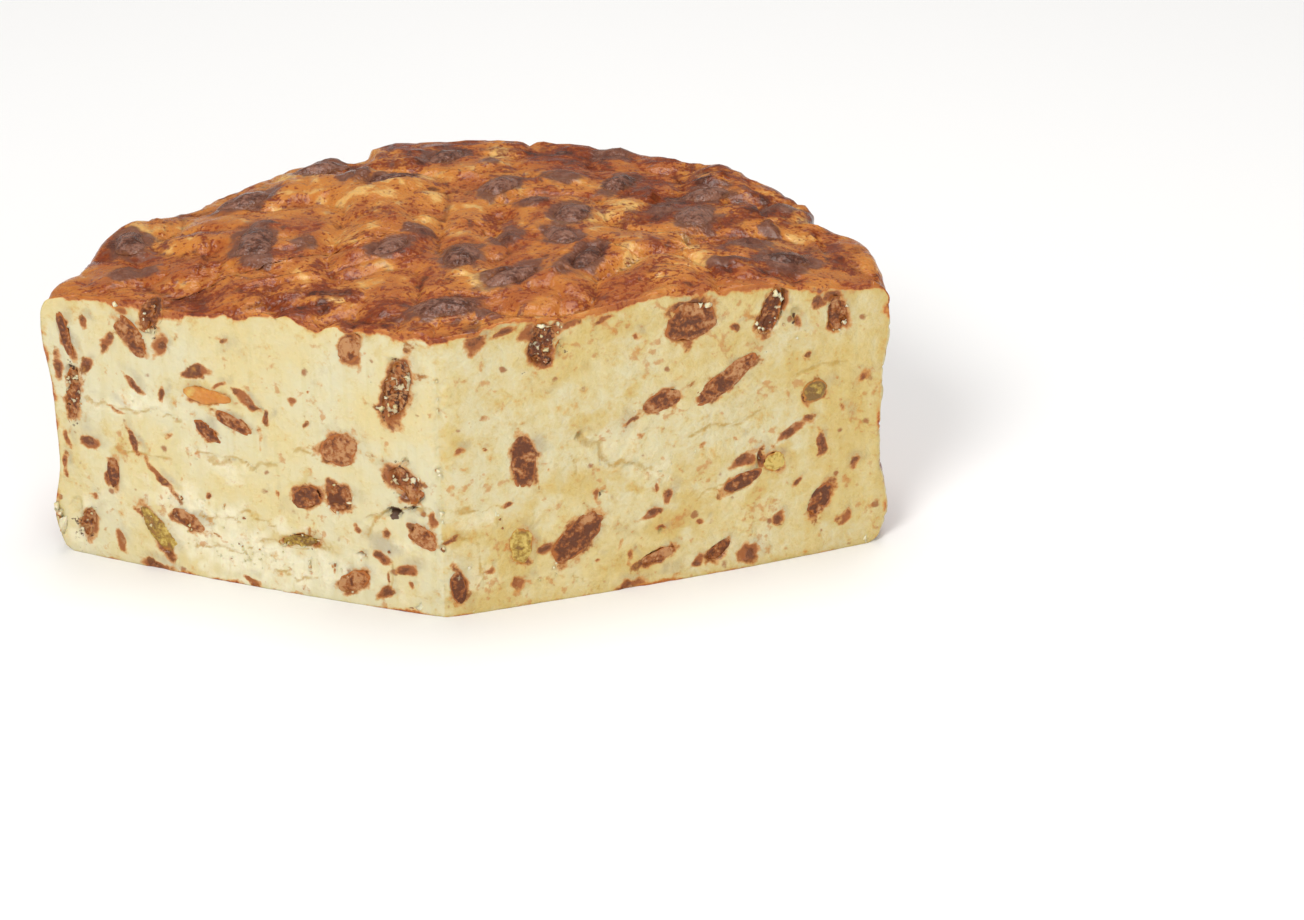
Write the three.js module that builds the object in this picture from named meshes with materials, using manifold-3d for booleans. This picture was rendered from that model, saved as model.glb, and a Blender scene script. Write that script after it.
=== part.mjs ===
// A pressed and baked curd cheese with dried fruit: the half wheel that is left after two knife cuts.
// Millimetres. The origin is on the wheel's axis at its flat base, and +Z is up.
// The two cut faces look towards -Y.
import * as THREE from "three";
import { mergeVertices } from "three/addons/utils/BufferGeometryUtils.js";
import Module from "manifold-3d";

const wasm = await Module();
wasm.setup();

// Driving dimensions.
const WHEEL_RADIUS = 95; // mean radius of the whole wheel
const CROWN_HEIGHT = 71; // height on the axis, where the baked top is domed
const RIM_HEIGHT = 65; // height where the top turns down into the rim
const BASE_ROUNDING = 5; // how far the flat base stops short of the rim
const CUT_CORNER = new THREE.Vector2(-6, -24); // where the two cuts meet, a little in front of the axis
const LEFT_CUT_ANGLE = 158.6; // direction of the left cut from the corner, degrees from +X
const RIGHT_CUT_ANGLE = 17;
const FRUIT_GAP = 0.3; // room between a piece of fruit and its pocket

// Shape of a piece of fruit: its taper, and its thickness against its width where it lies.
const FRUIT_TAPER = 0.12;
const FLATNESS = { cut: 1.15, top: 0.75, rim: 0.8 };

// How deep the middle of a piece lies under the top skin, and inside the rim.
const SUNK_IN_TOP = 1.2;
const SUNK_IN_RIM = 1.7;

// Facets: steps round the wheel, samples of its outline, and steps round and along a piece of fruit.
const WHEEL_STEPS = 90;
const OUTLINE_SAMPLES = 360;
const SHOULDER_POINTS = 5;
const FRUIT_AROUND = 9;
const FRUIT_ALONG = 6;

// The whole wheel's radius against the angle from +X, because it slumped unevenly as it baked.
const PLAN_RADII = [
  [5, 95.3],
  [22, 95.5],
  [40, 98.6],
  [60, 99.6],
  [80, 98],
  [98, 97.8],
  [115, 93.6],
  [137, 90.6],
  [152, 94],
  [164, 92.6],
  [175, 95.4],
  [215, 96],
  [270, 95],
  [325, 96],
];

// Height and outward bulge of the rim: rounded foot, swollen band above it, slack waist and crust lip.
const RIM_PROFILE = [
  [0, -BASE_ROUNDING],
  [1.2, -1.8],
  [4.5, 0.3],
  [9, 1.4],
  [14, 0.8],
  [20, -0.5],
  [33, -1],
  [47, -0.6],
  [54, 0.4],
  [60, 0.2],
  [63, -1.2],
  [64.6, -3.6],
  [65.4, -7.5],
];

// Radii, in parts of the wheel's, of the rings that carry the dome from the shoulder to the axis.
const DOME_RINGS = [0.84, 0.75, 0.65, 0.55, 0.45, 0.35, 0.25, 0.13, 0];

// Places where the top puffed up or sank as it baked: across, back, rise and spread.
const SWELLS = [
  [60, -1, 2.6, 23],
  [-31, -14, -2.8, 10],
  [-80, 8, 0.7, 8],
  [38, 16, 1.2, 11],
  [-50, 32, 1.2, 13],
  [4, 36, -1.2, 13],
  [-22, 62, 1, 16],
  [44, 62, -1, 15],
];

// Fruit seen on the cut faces: distance from the corner, height, length, width, tilt in degrees from level.
const LEFT_FRUIT = [
  ["raisin", 9.5, 56, 17, 6.6, 106],
  ["raisin", 20.3, 64.6, 8.6, 4.8, 119],
  ["raisin", 24.5, 38.8, 10.4, 8, 145],
  ["raisin", 24.8, 26, 7.2, 7, 80],
  ["raisin", 32.8, 25, 7.4, 5.4, 150],
  ["raisin", 9.3, 33, 9.4, 7.6, 60],
  ["raisin", 4.8, 19.5, 7, 5.6, 30],
  ["raisin", 22.5, 5, 10, 5, 145],
  ["golden_sultana", 35, 13.2, 10.6, 3.4, 172],
  ["raisin", 50, 40.6, 9, 3.2, 22],
  ["raisin", 56.6, 37.6, 6.2, 3, 38],
  ["golden_sultana", 56.8, 46.4, 10.4, 3.8, 3],
  ["raisin", 74, 58.5, 10.4, 5, 55],
  ["raisin", 68.6, 65, 9, 5, 112],
  ["raisin", 90.6, 56.4, 11, 2.8, 76],
  ["raisin", 90, 40.6, 14, 3.8, 96],
  ["raisin", 81.3, 22.8, 8.8, 3.4, 95],
  ["raisin", 63.4, 13.6, 9, 3.7, 32],
  ["golden_sultana", 71.2, 9.6, 14.5, 5, 58],
  ["raisin", 89.4, 8, 10.5, 4.4, 110],
];

const RIGHT_FRUIT = [
  ["raisin", 24, 64.6, 11, 7, 70],
  ["raisin", 58.5, 64.4, 12.4, 9.6, 30],
  ["raisin", 77, 63.6, 11.6, 4.8, 80],
  ["raisin", 93.2, 60.6, 8.6, 5, 95],
  ["raisin", 51.5, 46, 9.6, 5, 12],
  ["raisin", 66.8, 48.7, 15.4, 5.2, 34],
  ["golden_sultana", 88.3, 42, 6.4, 4.8, 50],
  ["raisin", 19, 37, 13, 5.6, 95],
  ["raisin", 31.2, 14.8, 13, 7.4, 48],
  ["golden_sultana", 18, 15, 8.8, 5.4, 95],
  ["raisin", 3.2, 7, 8.8, 3.8, 100],
  ["raisin", 50.5, 6.4, 9.4, 3.2, 20],
  ["raisin", 70.6, 22, 9.4, 3.8, 28],
  ["golden_sultana", 78.8, 25.8, 5.4, 5, 0],
  ["raisin", 65, 5, 7.4, 3.8, 40],
  ["raisin", 90, 14, 9.5, 5, 60],
];

// Fruit lying in the baked top: place across and back from the axis, length, width, turn in degrees from +X.
const TOP_FRUIT = [
  ["raisin", -48, 27, 17, 8.4, 88],
  ["raisin", -1, 16, 13.5, 8.6, 80],
  ["raisin", 24, 41, 12.6, 8.6, 75],
  ["raisin", 21.6, 27, 11.4, 7.6, 112],
  ["raisin", 7.5, 60, 13, 7.4, 60],
  ["raisin", -52.5, 58, 14, 8, 45],
  ["raisin", -36, 77, 13, 6.6, 25],
  ["raisin", -18, 64, 13, 5, 25],
  ["raisin", -17, 22, 12, 6, 55],
  ["raisin", -4.5, -10.6, 14, 9, 10],
  ["raisin", 10.5, 4, 15, 6.6, 42],
  ["raisin", 27, 12.5, 16, 6.6, 68],
  ["raisin", 57, 57, 11, 8, 30],
  ["raisin", 53, 41, 14, 8.6, 72],
  ["raisin", 72.5, 15.6, 12, 8.6, 15],
  ["raisin", -78, 37, 12, 8, 100],
  ["raisin", -6, 82, 13, 8, 60],
  ["raisin", 36, 64, 14, 6.2, 65],
];

// Fruit flush in the back of the rim: angle from +X, height, length, width, tilt from level.
const RIM_FRUIT = [
  ["raisin", 42, 36, 12, 6, 40],
  ["raisin", 78, 22, 13, 6.4, 20],
  ["raisin", 104, 44, 11, 6, 150],
  ["raisin", 142, 26, 13, 6, 35],
];

const degrees = THREE.MathUtils.degToRad;
const leftAlong = new THREE.Vector2(1, 0).rotateAround(new THREE.Vector2(), degrees(LEFT_CUT_ANGLE));
const rightAlong = new THREE.Vector2(1, 0).rotateAround(new THREE.Vector2(), degrees(RIGHT_CUT_ANGLE));

function solidFrom(geometry) {
  const bare = geometry.index ? geometry.toNonIndexed() : geometry.clone();
  bare.deleteAttribute("normal");
  bare.deleteAttribute("uv");
  const merged = mergeVertices(bare, 1e-4);
  return new wasm.Manifold(
    new wasm.Mesh({
      numProp: 3,
      vertProperties: merged.attributes.position.array,
      triVerts: new Uint32Array(merged.index.array),
    }),
  );
}

function geometryFrom(solid) {
  const mesh = solid.getMesh();
  const geometry = new THREE.BufferGeometry();
  geometry.setAttribute("position", new THREE.BufferAttribute(mesh.vertProperties, 3));
  geometry.setIndex(new THREE.BufferAttribute(mesh.triVerts, 1));
  geometry.computeVertexNormals();
  return geometry;
}

// Reads a value off rows of [key, value], straight between neighbours; the keys rise.
function readOff(rows, key) {
  const next = rows.findIndex(([mark]) => mark > key);
  if (next === 0) return rows[0][1];
  if (next < 0) return rows[rows.length - 1][1];
  const [[low, from], [high, to]] = [rows[next - 1], rows[next]];
  return THREE.MathUtils.mapLinear(key, low, high, from, to);
}

// The outline as one smooth curve of radius against angle, closed by repeating its first point a turn later.
const [firstAngle, firstRadius] = PLAN_RADII[0];
const outline = new THREE.CatmullRomCurve3(
  [...PLAN_RADII, [firstAngle + 360, firstRadius]].map((row) => new THREE.Vector3(...row, 0)),
);
const outlineRows = outline.getPoints(OUTLINE_SAMPLES).map(({ x, y }) => [x, y]);

function planRadius(x, y) {
  const angle = THREE.MathUtils.radToDeg(Math.atan2(y, x));
  return readOff(outlineRows, THREE.MathUtils.euclideanModulo(angle - firstAngle, 360) + firstAngle);
}

// Height of the domed top, with its swells.
function domeHeight(x, y) {
  const share = Math.hypot(x, y) / planRadius(x, y);
  let height = CROWN_HEIGHT - (CROWN_HEIGHT - RIM_HEIGHT) * share ** 2;
  for (const [across, back, rise, spread] of SWELLS) {
    const away = Math.hypot(x - across, y - back) / spread;
    height += rise * Math.exp(-(away ** 2));
  }
  return height;
}

// Height of the skin anywhere on top, down over the shoulder as well.
const shoulderRows = RIM_PROFILE.slice(-SHOULDER_POINTS)
  .map(([height, bulge]) => [WHEEL_RADIUS + bulge, height])
  .reverse();

function skinHeight(x, y) {
  const reach = (Math.hypot(x, y) * WHEEL_RADIUS) / planRadius(x, y);
  return reach < shoulderRows[0][0] ? domeHeight(x, y) : readOff(shoulderRows, reach);
}

// The whole wheel: a lathed profile, then every vertex moved out to the outline and up to the dome.
function wholeWheel() {
  const profile = [new THREE.Vector2(0, 0)];
  for (const [height, bulge] of RIM_PROFILE) profile.push(new THREE.Vector2(WHEEL_RADIUS + bulge, height));
  for (const share of DOME_RINGS) profile.push(new THREE.Vector2(WHEEL_RADIUS * share, CROWN_HEIGHT));
  const geometry = new THREE.LatheGeometry(profile, WHEEL_STEPS);
  geometry.rotateX(Math.PI / 2);
  const place = geometry.attributes.position;
  for (let i = 0; i < place.count; i++) {
    const [x, y, z] = [place.getX(i), place.getY(i), place.getZ(i)];
    const stretch = planRadius(x, y) / WHEEL_RADIUS;
    const height = z === CROWN_HEIGHT ? domeHeight(x * stretch, y * stretch) : z;
    place.setXYZ(i, x * stretch, y * stretch, height);
  }
  return solidFrom(geometry);
}

// The sector that was cut away: a prism from the corner out past the front of the wheel.
function removedSector() {
  const reach = 3 * WHEEL_RADIUS; // well outside the wheel
  const below = 10;
  const above = 20;
  const left = leftAlong.clone().multiplyScalar(reach).add(CUT_CORNER);
  const right = rightAlong.clone().multiplyScalar(reach).add(CUT_CORNER);
  const plan = new THREE.Shape([
    CUT_CORNER,
    left,
    new THREE.Vector2(-reach, -reach),
    new THREE.Vector2(reach, -reach),
    right,
  ]);
  const depth = below + CROWN_HEIGHT + above;
  const geometry = new THREE.ExtrudeGeometry(plan, { depth, bevelEnabled: false });
  geometry.translate(0, 0, -below);
  return solidFrom(geometry);
}

// A dried fruit as a blunt egg, in its own frame: length along X, width along Y, thickness along Z.
function fruitSolid(length, width, thickness, margin, frame) {
  const geometry = new THREE.SphereGeometry(1, FRUIT_AROUND, FRUIT_ALONG);
  geometry.rotateZ(Math.PI / 2);
  const place = geometry.attributes.position;
  for (let i = 0; i < place.count; i++) {
    const [x, y, z] = [place.getX(i), place.getY(i), place.getZ(i)];
    const slim = 1 + FRUIT_TAPER * x;
    place.setXYZ(
      i,
      x * (length / 2 + margin),
      y * (width / 2 + margin) * slim,
      z * (thickness / 2 + margin) * slim,
    );
  }
  geometry.applyMatrix4(frame);
  return solidFrom(geometry);
}

// A frame whose Z is the outward normal and whose X is turned by tilt from level.
function frameAt(origin, level, normal, tilt) {
  const across = new THREE.Vector3().crossVectors(normal, level);
  const turn = degrees(tilt);
  const along = level.clone().multiplyScalar(Math.cos(turn)).addScaledVector(across, Math.sin(turn));
  const side = new THREE.Vector3().crossVectors(normal, along);
  return new THREE.Matrix4().makeBasis(along, side, normal).setPosition(origin);
}

// Fruit centred on a cut face, so the knife's plane shows its widest section.
function cutFaceFruit(rows, along, side) {
  const level = new THREE.Vector3(along.x, along.y, 0).multiplyScalar(side);
  const normal = new THREE.Vector3(level.y, -level.x, 0);
  return rows.map(([kind, distance, height, length, width, tilt]) => {
    const origin = new THREE.Vector3(
      CUT_CORNER.x + along.x * distance,
      CUT_CORNER.y + along.y * distance,
      height,
    );
    const frame = frameAt(origin, level, normal, side > 0 ? tilt : 180 - tilt);
    return { kind, length, width, thick: width * FLATNESS.cut, frame };
  });
}

// Fruit sunk into the baked top until only its back stands out.
function topFruit(rows) {
  const level = new THREE.Vector3(1, 0, 0);
  const up = new THREE.Vector3(0, 0, 1);
  return rows.map(([kind, x, y, length, width, turn]) => {
    const origin = new THREE.Vector3(x, y, skinHeight(x, y) - SUNK_IN_TOP);
    const frame = frameAt(origin, level, up, turn);
    return { kind, length, width, thick: width * FLATNESS.top, frame };
  });
}

// Fruit lying almost flush in the rim.
function rimFruit(rows) {
  return rows.map(([kind, angle, height, length, width, tilt]) => {
    const out = new THREE.Vector3(Math.cos(degrees(angle)), Math.sin(degrees(angle)), 0);
    const level = new THREE.Vector3(-out.y, out.x, 0);
    const surface = planRadius(out.x, out.y) + readOff(RIM_PROFILE, height);
    const origin = out.clone().multiplyScalar(surface - SUNK_IN_RIM).setZ(height);
    const frame = frameAt(origin, level, out, tilt);
    return { kind, length, width, thick: width * FLATNESS.rim, frame };
  });
}

const curd = new THREE.MeshStandardMaterial({ color: 0xe3d5a4, roughness: 0.55, metalness: 0 });
const finishes = {
  raisin: new THREE.MeshStandardMaterial({ color: 0x5b3224, roughness: 0.4, metalness: 0 }),
  golden_sultana: new THREE.MeshStandardMaterial({ color: 0xb9893f, roughness: 0.4, metalness: 0 }),
};

function namedMesh(name, solid, material) {
  const mesh = new THREE.Mesh(geometryFrom(solid), material);
  mesh.name = name;
  return mesh;
}

const cheese = new THREE.Group();
const sector = removedSector();
let body = wholeWheel().subtract(sector);

const places = {
  left: cutFaceFruit(LEFT_FRUIT, leftAlong, -1),
  right: cutFaceFruit(RIGHT_FRUIT, rightAlong, 1),
  top: topFruit(TOP_FRUIT),
  rim: rimFruit(RIM_FRUIT),
};

for (const [place, fruits] of Object.entries(places)) {
  fruits.forEach(({ kind, length, width, thick, frame }, index) => {
    body = body.subtract(fruitSolid(length, width, thick, FRUIT_GAP, frame));
    const fruit = fruitSolid(length, width, thick, 0, frame).subtract(sector);
    const number = String(index + 1).padStart(2, "0");
    cheese.add(namedMesh(`${kind}_${place}_${number}`, fruit, finishes[kind]));
  });
}

cheese.add(namedMesh("cheese_wheel", body, curd));

export default cheese;
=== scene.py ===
"""A baked curd cheese with dried fruit, opened by two knife cuts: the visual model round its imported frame.

Shapes are worked out in millimetres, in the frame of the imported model, and put into the meshes in metres.
"""

import bpy
import numpy as np
from bpy.props import FloatProperty, FloatVectorProperty, PointerProperty
from mathutils import Matrix


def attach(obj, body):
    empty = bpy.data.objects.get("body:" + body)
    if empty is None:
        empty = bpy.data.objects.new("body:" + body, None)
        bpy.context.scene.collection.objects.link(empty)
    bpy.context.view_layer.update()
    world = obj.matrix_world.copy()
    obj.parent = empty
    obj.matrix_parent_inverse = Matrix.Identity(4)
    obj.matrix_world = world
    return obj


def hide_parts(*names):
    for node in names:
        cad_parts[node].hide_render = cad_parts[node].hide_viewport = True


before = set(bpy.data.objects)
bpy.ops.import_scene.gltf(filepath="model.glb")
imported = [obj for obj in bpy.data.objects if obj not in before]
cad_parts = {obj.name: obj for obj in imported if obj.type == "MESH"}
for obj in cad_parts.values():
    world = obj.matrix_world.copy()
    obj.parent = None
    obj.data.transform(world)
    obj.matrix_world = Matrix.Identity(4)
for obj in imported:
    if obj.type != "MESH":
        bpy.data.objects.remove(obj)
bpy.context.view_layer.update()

bl_info = {
    "name": "Cut Baked Cheese Wheel",
    "version": (1, 0, 0),
    "blender": (4, 5, 0),
    "location": "3D View > Sidebar > Cheese",
    "description": "Builds a baked curd cheese with dried fruit, opened by two knife cuts",
    "category": "Add Mesh",
}

MM = 0.001

# The whole wheel, in millimetres: mean radius, height of the crown on the axis, and height of the shoulder.
WHEEL_RADIUS = 95.0
CROWN_HEIGHT = 71.0
RIM_HEIGHT = 65.0
SHOULDER_HEIGHT = 65.4

# The two cuts: where they meet, in plan, and their directions in degrees from +X.
CUT_CORNER = np.array((-6.0, -24.0))
RIGHT_CUT_ANGLE = 17.0
LEFT_CUT_ANGLE = 158.6
FAN_MIDDLE = np.array((0.0, 36.0))  # the point in plan that the top and the base close up to

# Radius of the slumped outline against the angle from +X.
PLAN_RADII = [
    (-35, 96),
    (5, 95.3),
    (22, 95.5),
    (40, 98.6),
    (60, 99.6),
    (80, 97.4),
    (98, 97.2),
    (115, 93.6),
    (137, 90.6),
    (152, 94),
    (164, 92.6),
    (175, 96.6),
    (215, 96),
]

# Folds that nick the top of the rim: angle, depth and half width. A lump has a depth below zero.
RIM_NICKS = [
    (28.5, 5.5, 4.5),
    (17, -2.4, 7),
    (81.5, 2.4, 1.6),
    (107.3, 5.2, 3),
    (46, 1.6, 2.5),
    (137, 2, 3),
    (164, 1, 3),
]

# Height and outward bulge of the rim, from the foot to the shoulder.
RIM_PROFILE = [
    (0, -2.6),
    (1.2, -0.9),
    (4.5, 0.4),
    (9, 1.4),
    (14, 0.8),
    (20, -0.5),
    (33, -1),
    (47, -0.6),
    (54, 0.4),
    (60, 0.4),
    (63.4, -0.2),
    (64.9, -1.3),
    (65.4, -3.2),
]

# Places where the top puffed up or sank: across, back, rise and spread.
SWELLS = [
    (60, -1, 2.6, 23),
    (-31, -14, -1.2, 15),
    (-60, -4, -0.8, 12),
    (-80, 8, 0.7, 8),
    (38, 16, 1.2, 11),
    (-50, 32, 1.2, 13),
    (4, 36, -1.2, 13),
    (-22, 62, 1, 16),
    (44, 62, -1, 15),
    (89, 24, 2.6, 9),
    (92, 8, 1.2, 6),
    (-28.6, 88, -4.5, 3.6),
    (-27, 80, -2.6, 4.2),
]

# The camera, in millimetres and degrees: place, turn to the right, tilt down, roll, and lens on its sensor.
CAMERA_PLACE = (19.0, -640.0, 374.0)
CAMERA_YAW = 2.0
CAMERA_PITCH = 28.5
CAMERA_ROLL = -0.2
CAMERA_LENS = 88.3
CAMERA_SENSOR = 36.0

# How far each kind of relief stands out or goes in. Every noise below has a seed of its own, which is the
# last number of its call.
CUT_WAVE = 0.45
CUT_DRAG = 0.1
CUT_SEAM = 0.1
CUT_POCKET = 1.8
CUT_SAG = 1.5
CORNER_ROUNDING = 0.9
SKIN_LOBES = 3.4
SKIN_PUCKERS = 1.5
SKIN_WRINKLES = 1.2
SKIN_LEVEL = 2.8  # taken off the three above, so that they leave the dome at its height
SKIN_POCKET = 1.4
RIM_DENTS = 0.9
RIM_DRAPES = 0.55
RIM_SEAM = 0.45
RIM_PORES = 0.22

# Mesh columns along the right cut, the rim and the left cut, rows up the side, and rings over the top.
RIGHT_COLUMNS = 190
RIM_COLUMNS = 176
LEFT_COLUMNS = 170
SIDE_ROWS = 122
TOP_RINGS = (36, 16, 8, 5)  # each group has half the columns of the one outside it
BASE_RINGS = (6, 4, 3, 2)
REACH_ROUNDS = 8  # rounds in which the length of a cut settles

# Points round a piece of fruit, and rings on its front and its back.
FRUIT_AROUND = 52
FRUIT_FRONT = 13
FRUIT_BACK = 4

# How far a top fruit's middle stands over the dome, a rim fruit's is sunk, and the slope is measured.
TOP_FRUIT_LIFT = 0.3
RIM_FRUIT_DEPTH = 0.8
SLOPE_REACH = 3.0

# Marks on the cut faces. Each oval is: distance from the corner, height, length, width, tilt, strength.
LEFT_BROWN = [
    (12.2, 49.4, 7.4, 6.6, 100, 0.75),
    (20, 62.5, 4.5, 5, 110, 1),
    (2.2, 25, 4.6, 2.4, 80, 0.9),
    (7.6, 22, 4.4, 2, 25, 0.9),
    (9, 11, 5.6, 3.2, 165, 1),
    (8.4, 7, 2, 1.6, 80, 0.8),
    (14.6, 12.6, 4.6, 3, 20, 0.9),
    (13.6, 18.6, 2.4, 4.4, 0, 0.65),
    (15.2, 3.2, 4, 2.6, 150, 1),
    (13, 7.6, 7.5, 1, 100, 0.7),
    (20, 12, 2, 1.4, 0, 1),
    (27.2, 7.6, 1.2, 4, 0, 0.7),
    (43.6, 37, 1.8, 9, 0, 0.6),
    (46, 46.8, 6, 2.8, 35, 1),
    (41.6, 43.8, 1.6, 3.4, 10, 0.9),
    (58.6, 52, 7, 2.8, 165, 1),
    (53, 49.6, 5, 1.8, 150, 0.8),
    (74.5, 47, 7, 2, 45, 0.9),
    (67, 45, 1.6, 6, 0, 0.75),
    (67, 57.6, 2.8, 6.4, 12, 1),
    (75.6, 65, 4.2, 2.8, 20, 0.9),
    (85.5, 60.5, 3.6, 2.8, 70, 0.95),
    (85.6, 50, 4.6, 2.6, 120, 0.95),
    (86, 29.5, 4.8, 3.8, 0, 1),
    (94, 22.5, 2, 6, 0, 0.9),
    (75.4, 32.6, 8.4, 1.8, 65, 0.9),
    (69, 24, 12, 2, 52, 0.9),
    (80.6, 5, 6.2, 2.6, 65, 1),
    (71, 1, 9, 2.4, 5, 0.9),
    (58, 21, 1.8, 1.6, 0, 0.8),
    (40, 25, 1.6, 3, 0, 0.7),
    (43.4, 23.4, 3, 2, 80, 0.55),
    (30.4, 52.2, 1.6, 2.4, 0, 0.6),
    (35, 48.4, 2, 2.4, 20, 0.8),
    (32.6, 43, 1.4, 3.2, 20, 0.6),
    (16.8, 57.6, 1.4, 3, 0, 0.5),
    (21.4, 19.4, 2.4, 2, 0, 0.7),
    (3.2, 64.6, 3, 1.6, 60, 0.4),
    (47.4, 1, 5, 1.8, 20, 0.8),
    (36, 0.6, 5, 1.6, 0, 0.6),
    (51.6, 61, 5, 2.2, 10, 0.5),
    (62, 61.5, 2, 3, 0, 0.5),
    (79, 40, 6, 1.6, 30, 0.7),
    (80.6, 56, 2.4, 5, 20, 0.8),
    (93, 48, 2.4, 8, 5, 0.8),
    (92.4, 30, 2.2, 6, 170, 0.8),
    (66.5, 35.6, 4.4, 1.6, 140, 0.6),
    (60, 31, 5, 1.4, 160, 0.5),
    (55.5, 11, 3, 1.6, 20, 0.5),
    (87, 16, 3, 1.8, 60, 0.8),
    (76, 14, 3, 1.6, 40, 0.7),
]

RIGHT_BROWN = [
    (9, 67.6, 5.6, 4.6, 50, 0.95),
    (7.6, 65, 2, 3, 160, 0.7),
    (28.6, 68.4, 9, 3, 25, 1),
    (24.6, 60.6, 5, 3.4, 0, 1),
    (17.6, 40.4, 2.6, 4, 150, 0.8),
    (19.6, 31.6, 1.6, 4.6, 20, 0.8),
    (4.4, 41.6, 2.6, 3.2, 150, 0.85),
    (32.4, 41, 3.6, 3, 0, 0.5),
    (45.6, 63, 3.4, 2, 160, 0.8),
    (44, 42.4, 5.4, 1.8, 30, 0.6),
    (46.4, 38.4, 2.8, 2.2, 0, 0.6),
    (69, 61.5, 2.6, 2.6, 0, 0.8),
    (79.6, 65, 2, 10, 175, 1),
    (88.5, 63.5, 4, 3, 0, 0.9),
    (84, 60, 3, 5, 20, 0.7),
    (83, 33, 10, 2.6, 30, 0.95),
    (69.5, 33.5, 1.8, 1.8, 0, 0.8),
    (75.5, 27, 1.6, 6, 0, 1),
    (61.6, 34, 4, 1.6, 30, 0.55),
    (71.4, 27.6, 8.6, 2.8, 25, 0.9),
    (90, 28.5, 1.8, 6, 0, 0.9),
    (35.6, 24.2, 1.8, 4.4, 10, 0.8),
    (50.4, 24.6, 1.4, 4.2, 0, 0.8),
    (53.6, 21.8, 2.4, 5, 160, 0.85),
    (48.6, 17.4, 7, 2.4, 25, 0.9),
    (61, 13.4, 2, 2, 0, 0.8),
    (51.4, 13.2, 2.6, 2, 0, 0.9),
    (24, 12.6, 4.6, 2.4, 25, 0.9),
    (17.6, 5.4, 4.6, 4, 40, 0.85),
    (11, 10.4, 2, 2.4, 0, 0.7),
    (36.4, 8.4, 3, 2, 140, 0.7),
    (41.4, 11.6, 1.6, 3, 0, 0.7),
    (44, 7.6, 1.8, 3.6, 0, 0.85),
    (43.5, 0.8, 9, 3, 5, 0.95),
    (59.6, 3.4, 5, 2.8, 20, 0.8),
    (72.6, 3.4, 6, 4, 20, 1),
    (53, 1, 6, 2, 0, 0.7),
    (2, 13, 2, 3.4, 20, 0.6),
    (1.8, 19.4, 5, 2, 20, 0.6),
    (14.4, 15.4, 2, 4.6, 170, 0.7),
    (100, 44, 7, 4, 20, 0.6),
    (95, 36, 3, 6, 10, 0.6),
    (98, 22, 3, 5, 160, 0.7),
    (84, 20, 5, 2, 40, 0.7),
    (80, 11, 5, 3, 30, 0.8),
    (96, 8, 5, 3, 60, 0.8),
    (59, 55.4, 2.4, 1.4, 0, 0.5),
    (86, 52, 2, 4, 10, 0.6),
    (15.6, 26.2, 1.6, 1.4, 0, 0.7),
    (25.4, 33.2, 1.2, 1.2, 0, 0.7),
    (9.6, 41, 1.4, 1.2, 0, 0.7),
    (13.4, 49, 1.8, 1.6, 0, 0.5),
    (22, 68.4, 7, 3.8, 30, 1),
    (15.6, 69.2, 5, 2.4, 20, 0.9),
    (38, 68.6, 6, 1.8, 10, 0.75),
    (57, 68.6, 8, 2.8, 10, 0.9),
    (78.4, 68, 5, 3, 10, 0.9),
    (92.4, 65.4, 4.6, 4.6, 10, 0.9),
]

LEFT_GOLD = [
    (56, 31, 1, 44, 0, 0.35),
    (45.4, 52, 1.4, 26, 0, 0.4),
    (67.4, 50, 1.4, 30, 0, 0.35),
    (35, 13.4, 16, 4.6, 172, 0.9),
    (45, 16.8, 7, 2, 20, 0.7),
    (34, 29, 8, 3.4, 150, 0.7),
    (57, 47, 12, 5, 3, 0.9),
    (4, 4, 7, 6, 20, 0.5),
    (80, 31.5, 3.6, 7, 5, 0.9),
    (75.5, 65.5, 4, 2.5, 20, 0.9),
    (22, 60, 4, 12, 10, 0.45),
    (2.4, 66, 6, 6, 0, 0.5),
    (13, 66, 8, 4, 10, 0.4),
    (90, 25, 10, 30, 0, 0.4),
    (71, 10, 20, 9, 60, 0.4),
    (40, 4, 12, 5, 30, 0.35),
    (54, 64.6, 10, 4, 0, 0.45),
    (80, 62, 12, 5, 0, 0.4),
]

RIGHT_GOLD = [
    (17, 15, 7, 12, 0, 0.9),
    (79, 26.5, 7, 5.6, 0, 1),
    (75, 18.5, 6, 4, 20, 0.9),
    (55.5, 14.5, 9, 6, 20, 0.9),
    (88.6, 42, 6, 7, 20, 0.8),
    (43.8, 49.2, 2.4, 2, 0, 0.8),
    (34, 43.4, 6, 3, 20, 0.6),
    (46, 24.6, 4, 2, 0, 0.7),
    (28, 62, 14, 9, 20, 0.55),
    (33, 28.6, 14, 5, 175, 0.5),
    (4, 20, 9, 3.4, 0, 0.7),
    (3, 45, 4, 6, 150, 0.5),
    (40, 66, 18, 6, 0, 0.5),
    (10, 54, 8, 8, 0, 0.25),
    (60, 28, 14, 6, 20, 0.35),
    (84, 50, 24, 12, 30, 0.4),
    (68, 58, 16, 8, 0, 0.4),
    (96, 30, 16, 40, 0, 0.5),
    (44, 4.4, 10, 6, 0, 0.45),
    (8, 2, 14, 5, 0, 0.5),
]

LEFT_PALE = [
    (48, 7, 34, 12, 4, 1),
    (60, 17, 24, 7, 10, 0.8),
    (54, 30, 20, 5, 5, 0.6),
    (74, 41, 20, 4, 3, 0.6),
    (24.6, 7.6, 5, 5, 0, 0.9),
    (12, 14, 10, 4, 150, 0.5),
    (15.6, 8, 3.6, 7, 5, 0.5),
    (10, 50, 3.4, 3.4, 0, 0.8),
    (88, 12, 6, 8, 0, 0.6),
    (92, 4, 6, 5, 0, 0.7),
]

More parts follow.
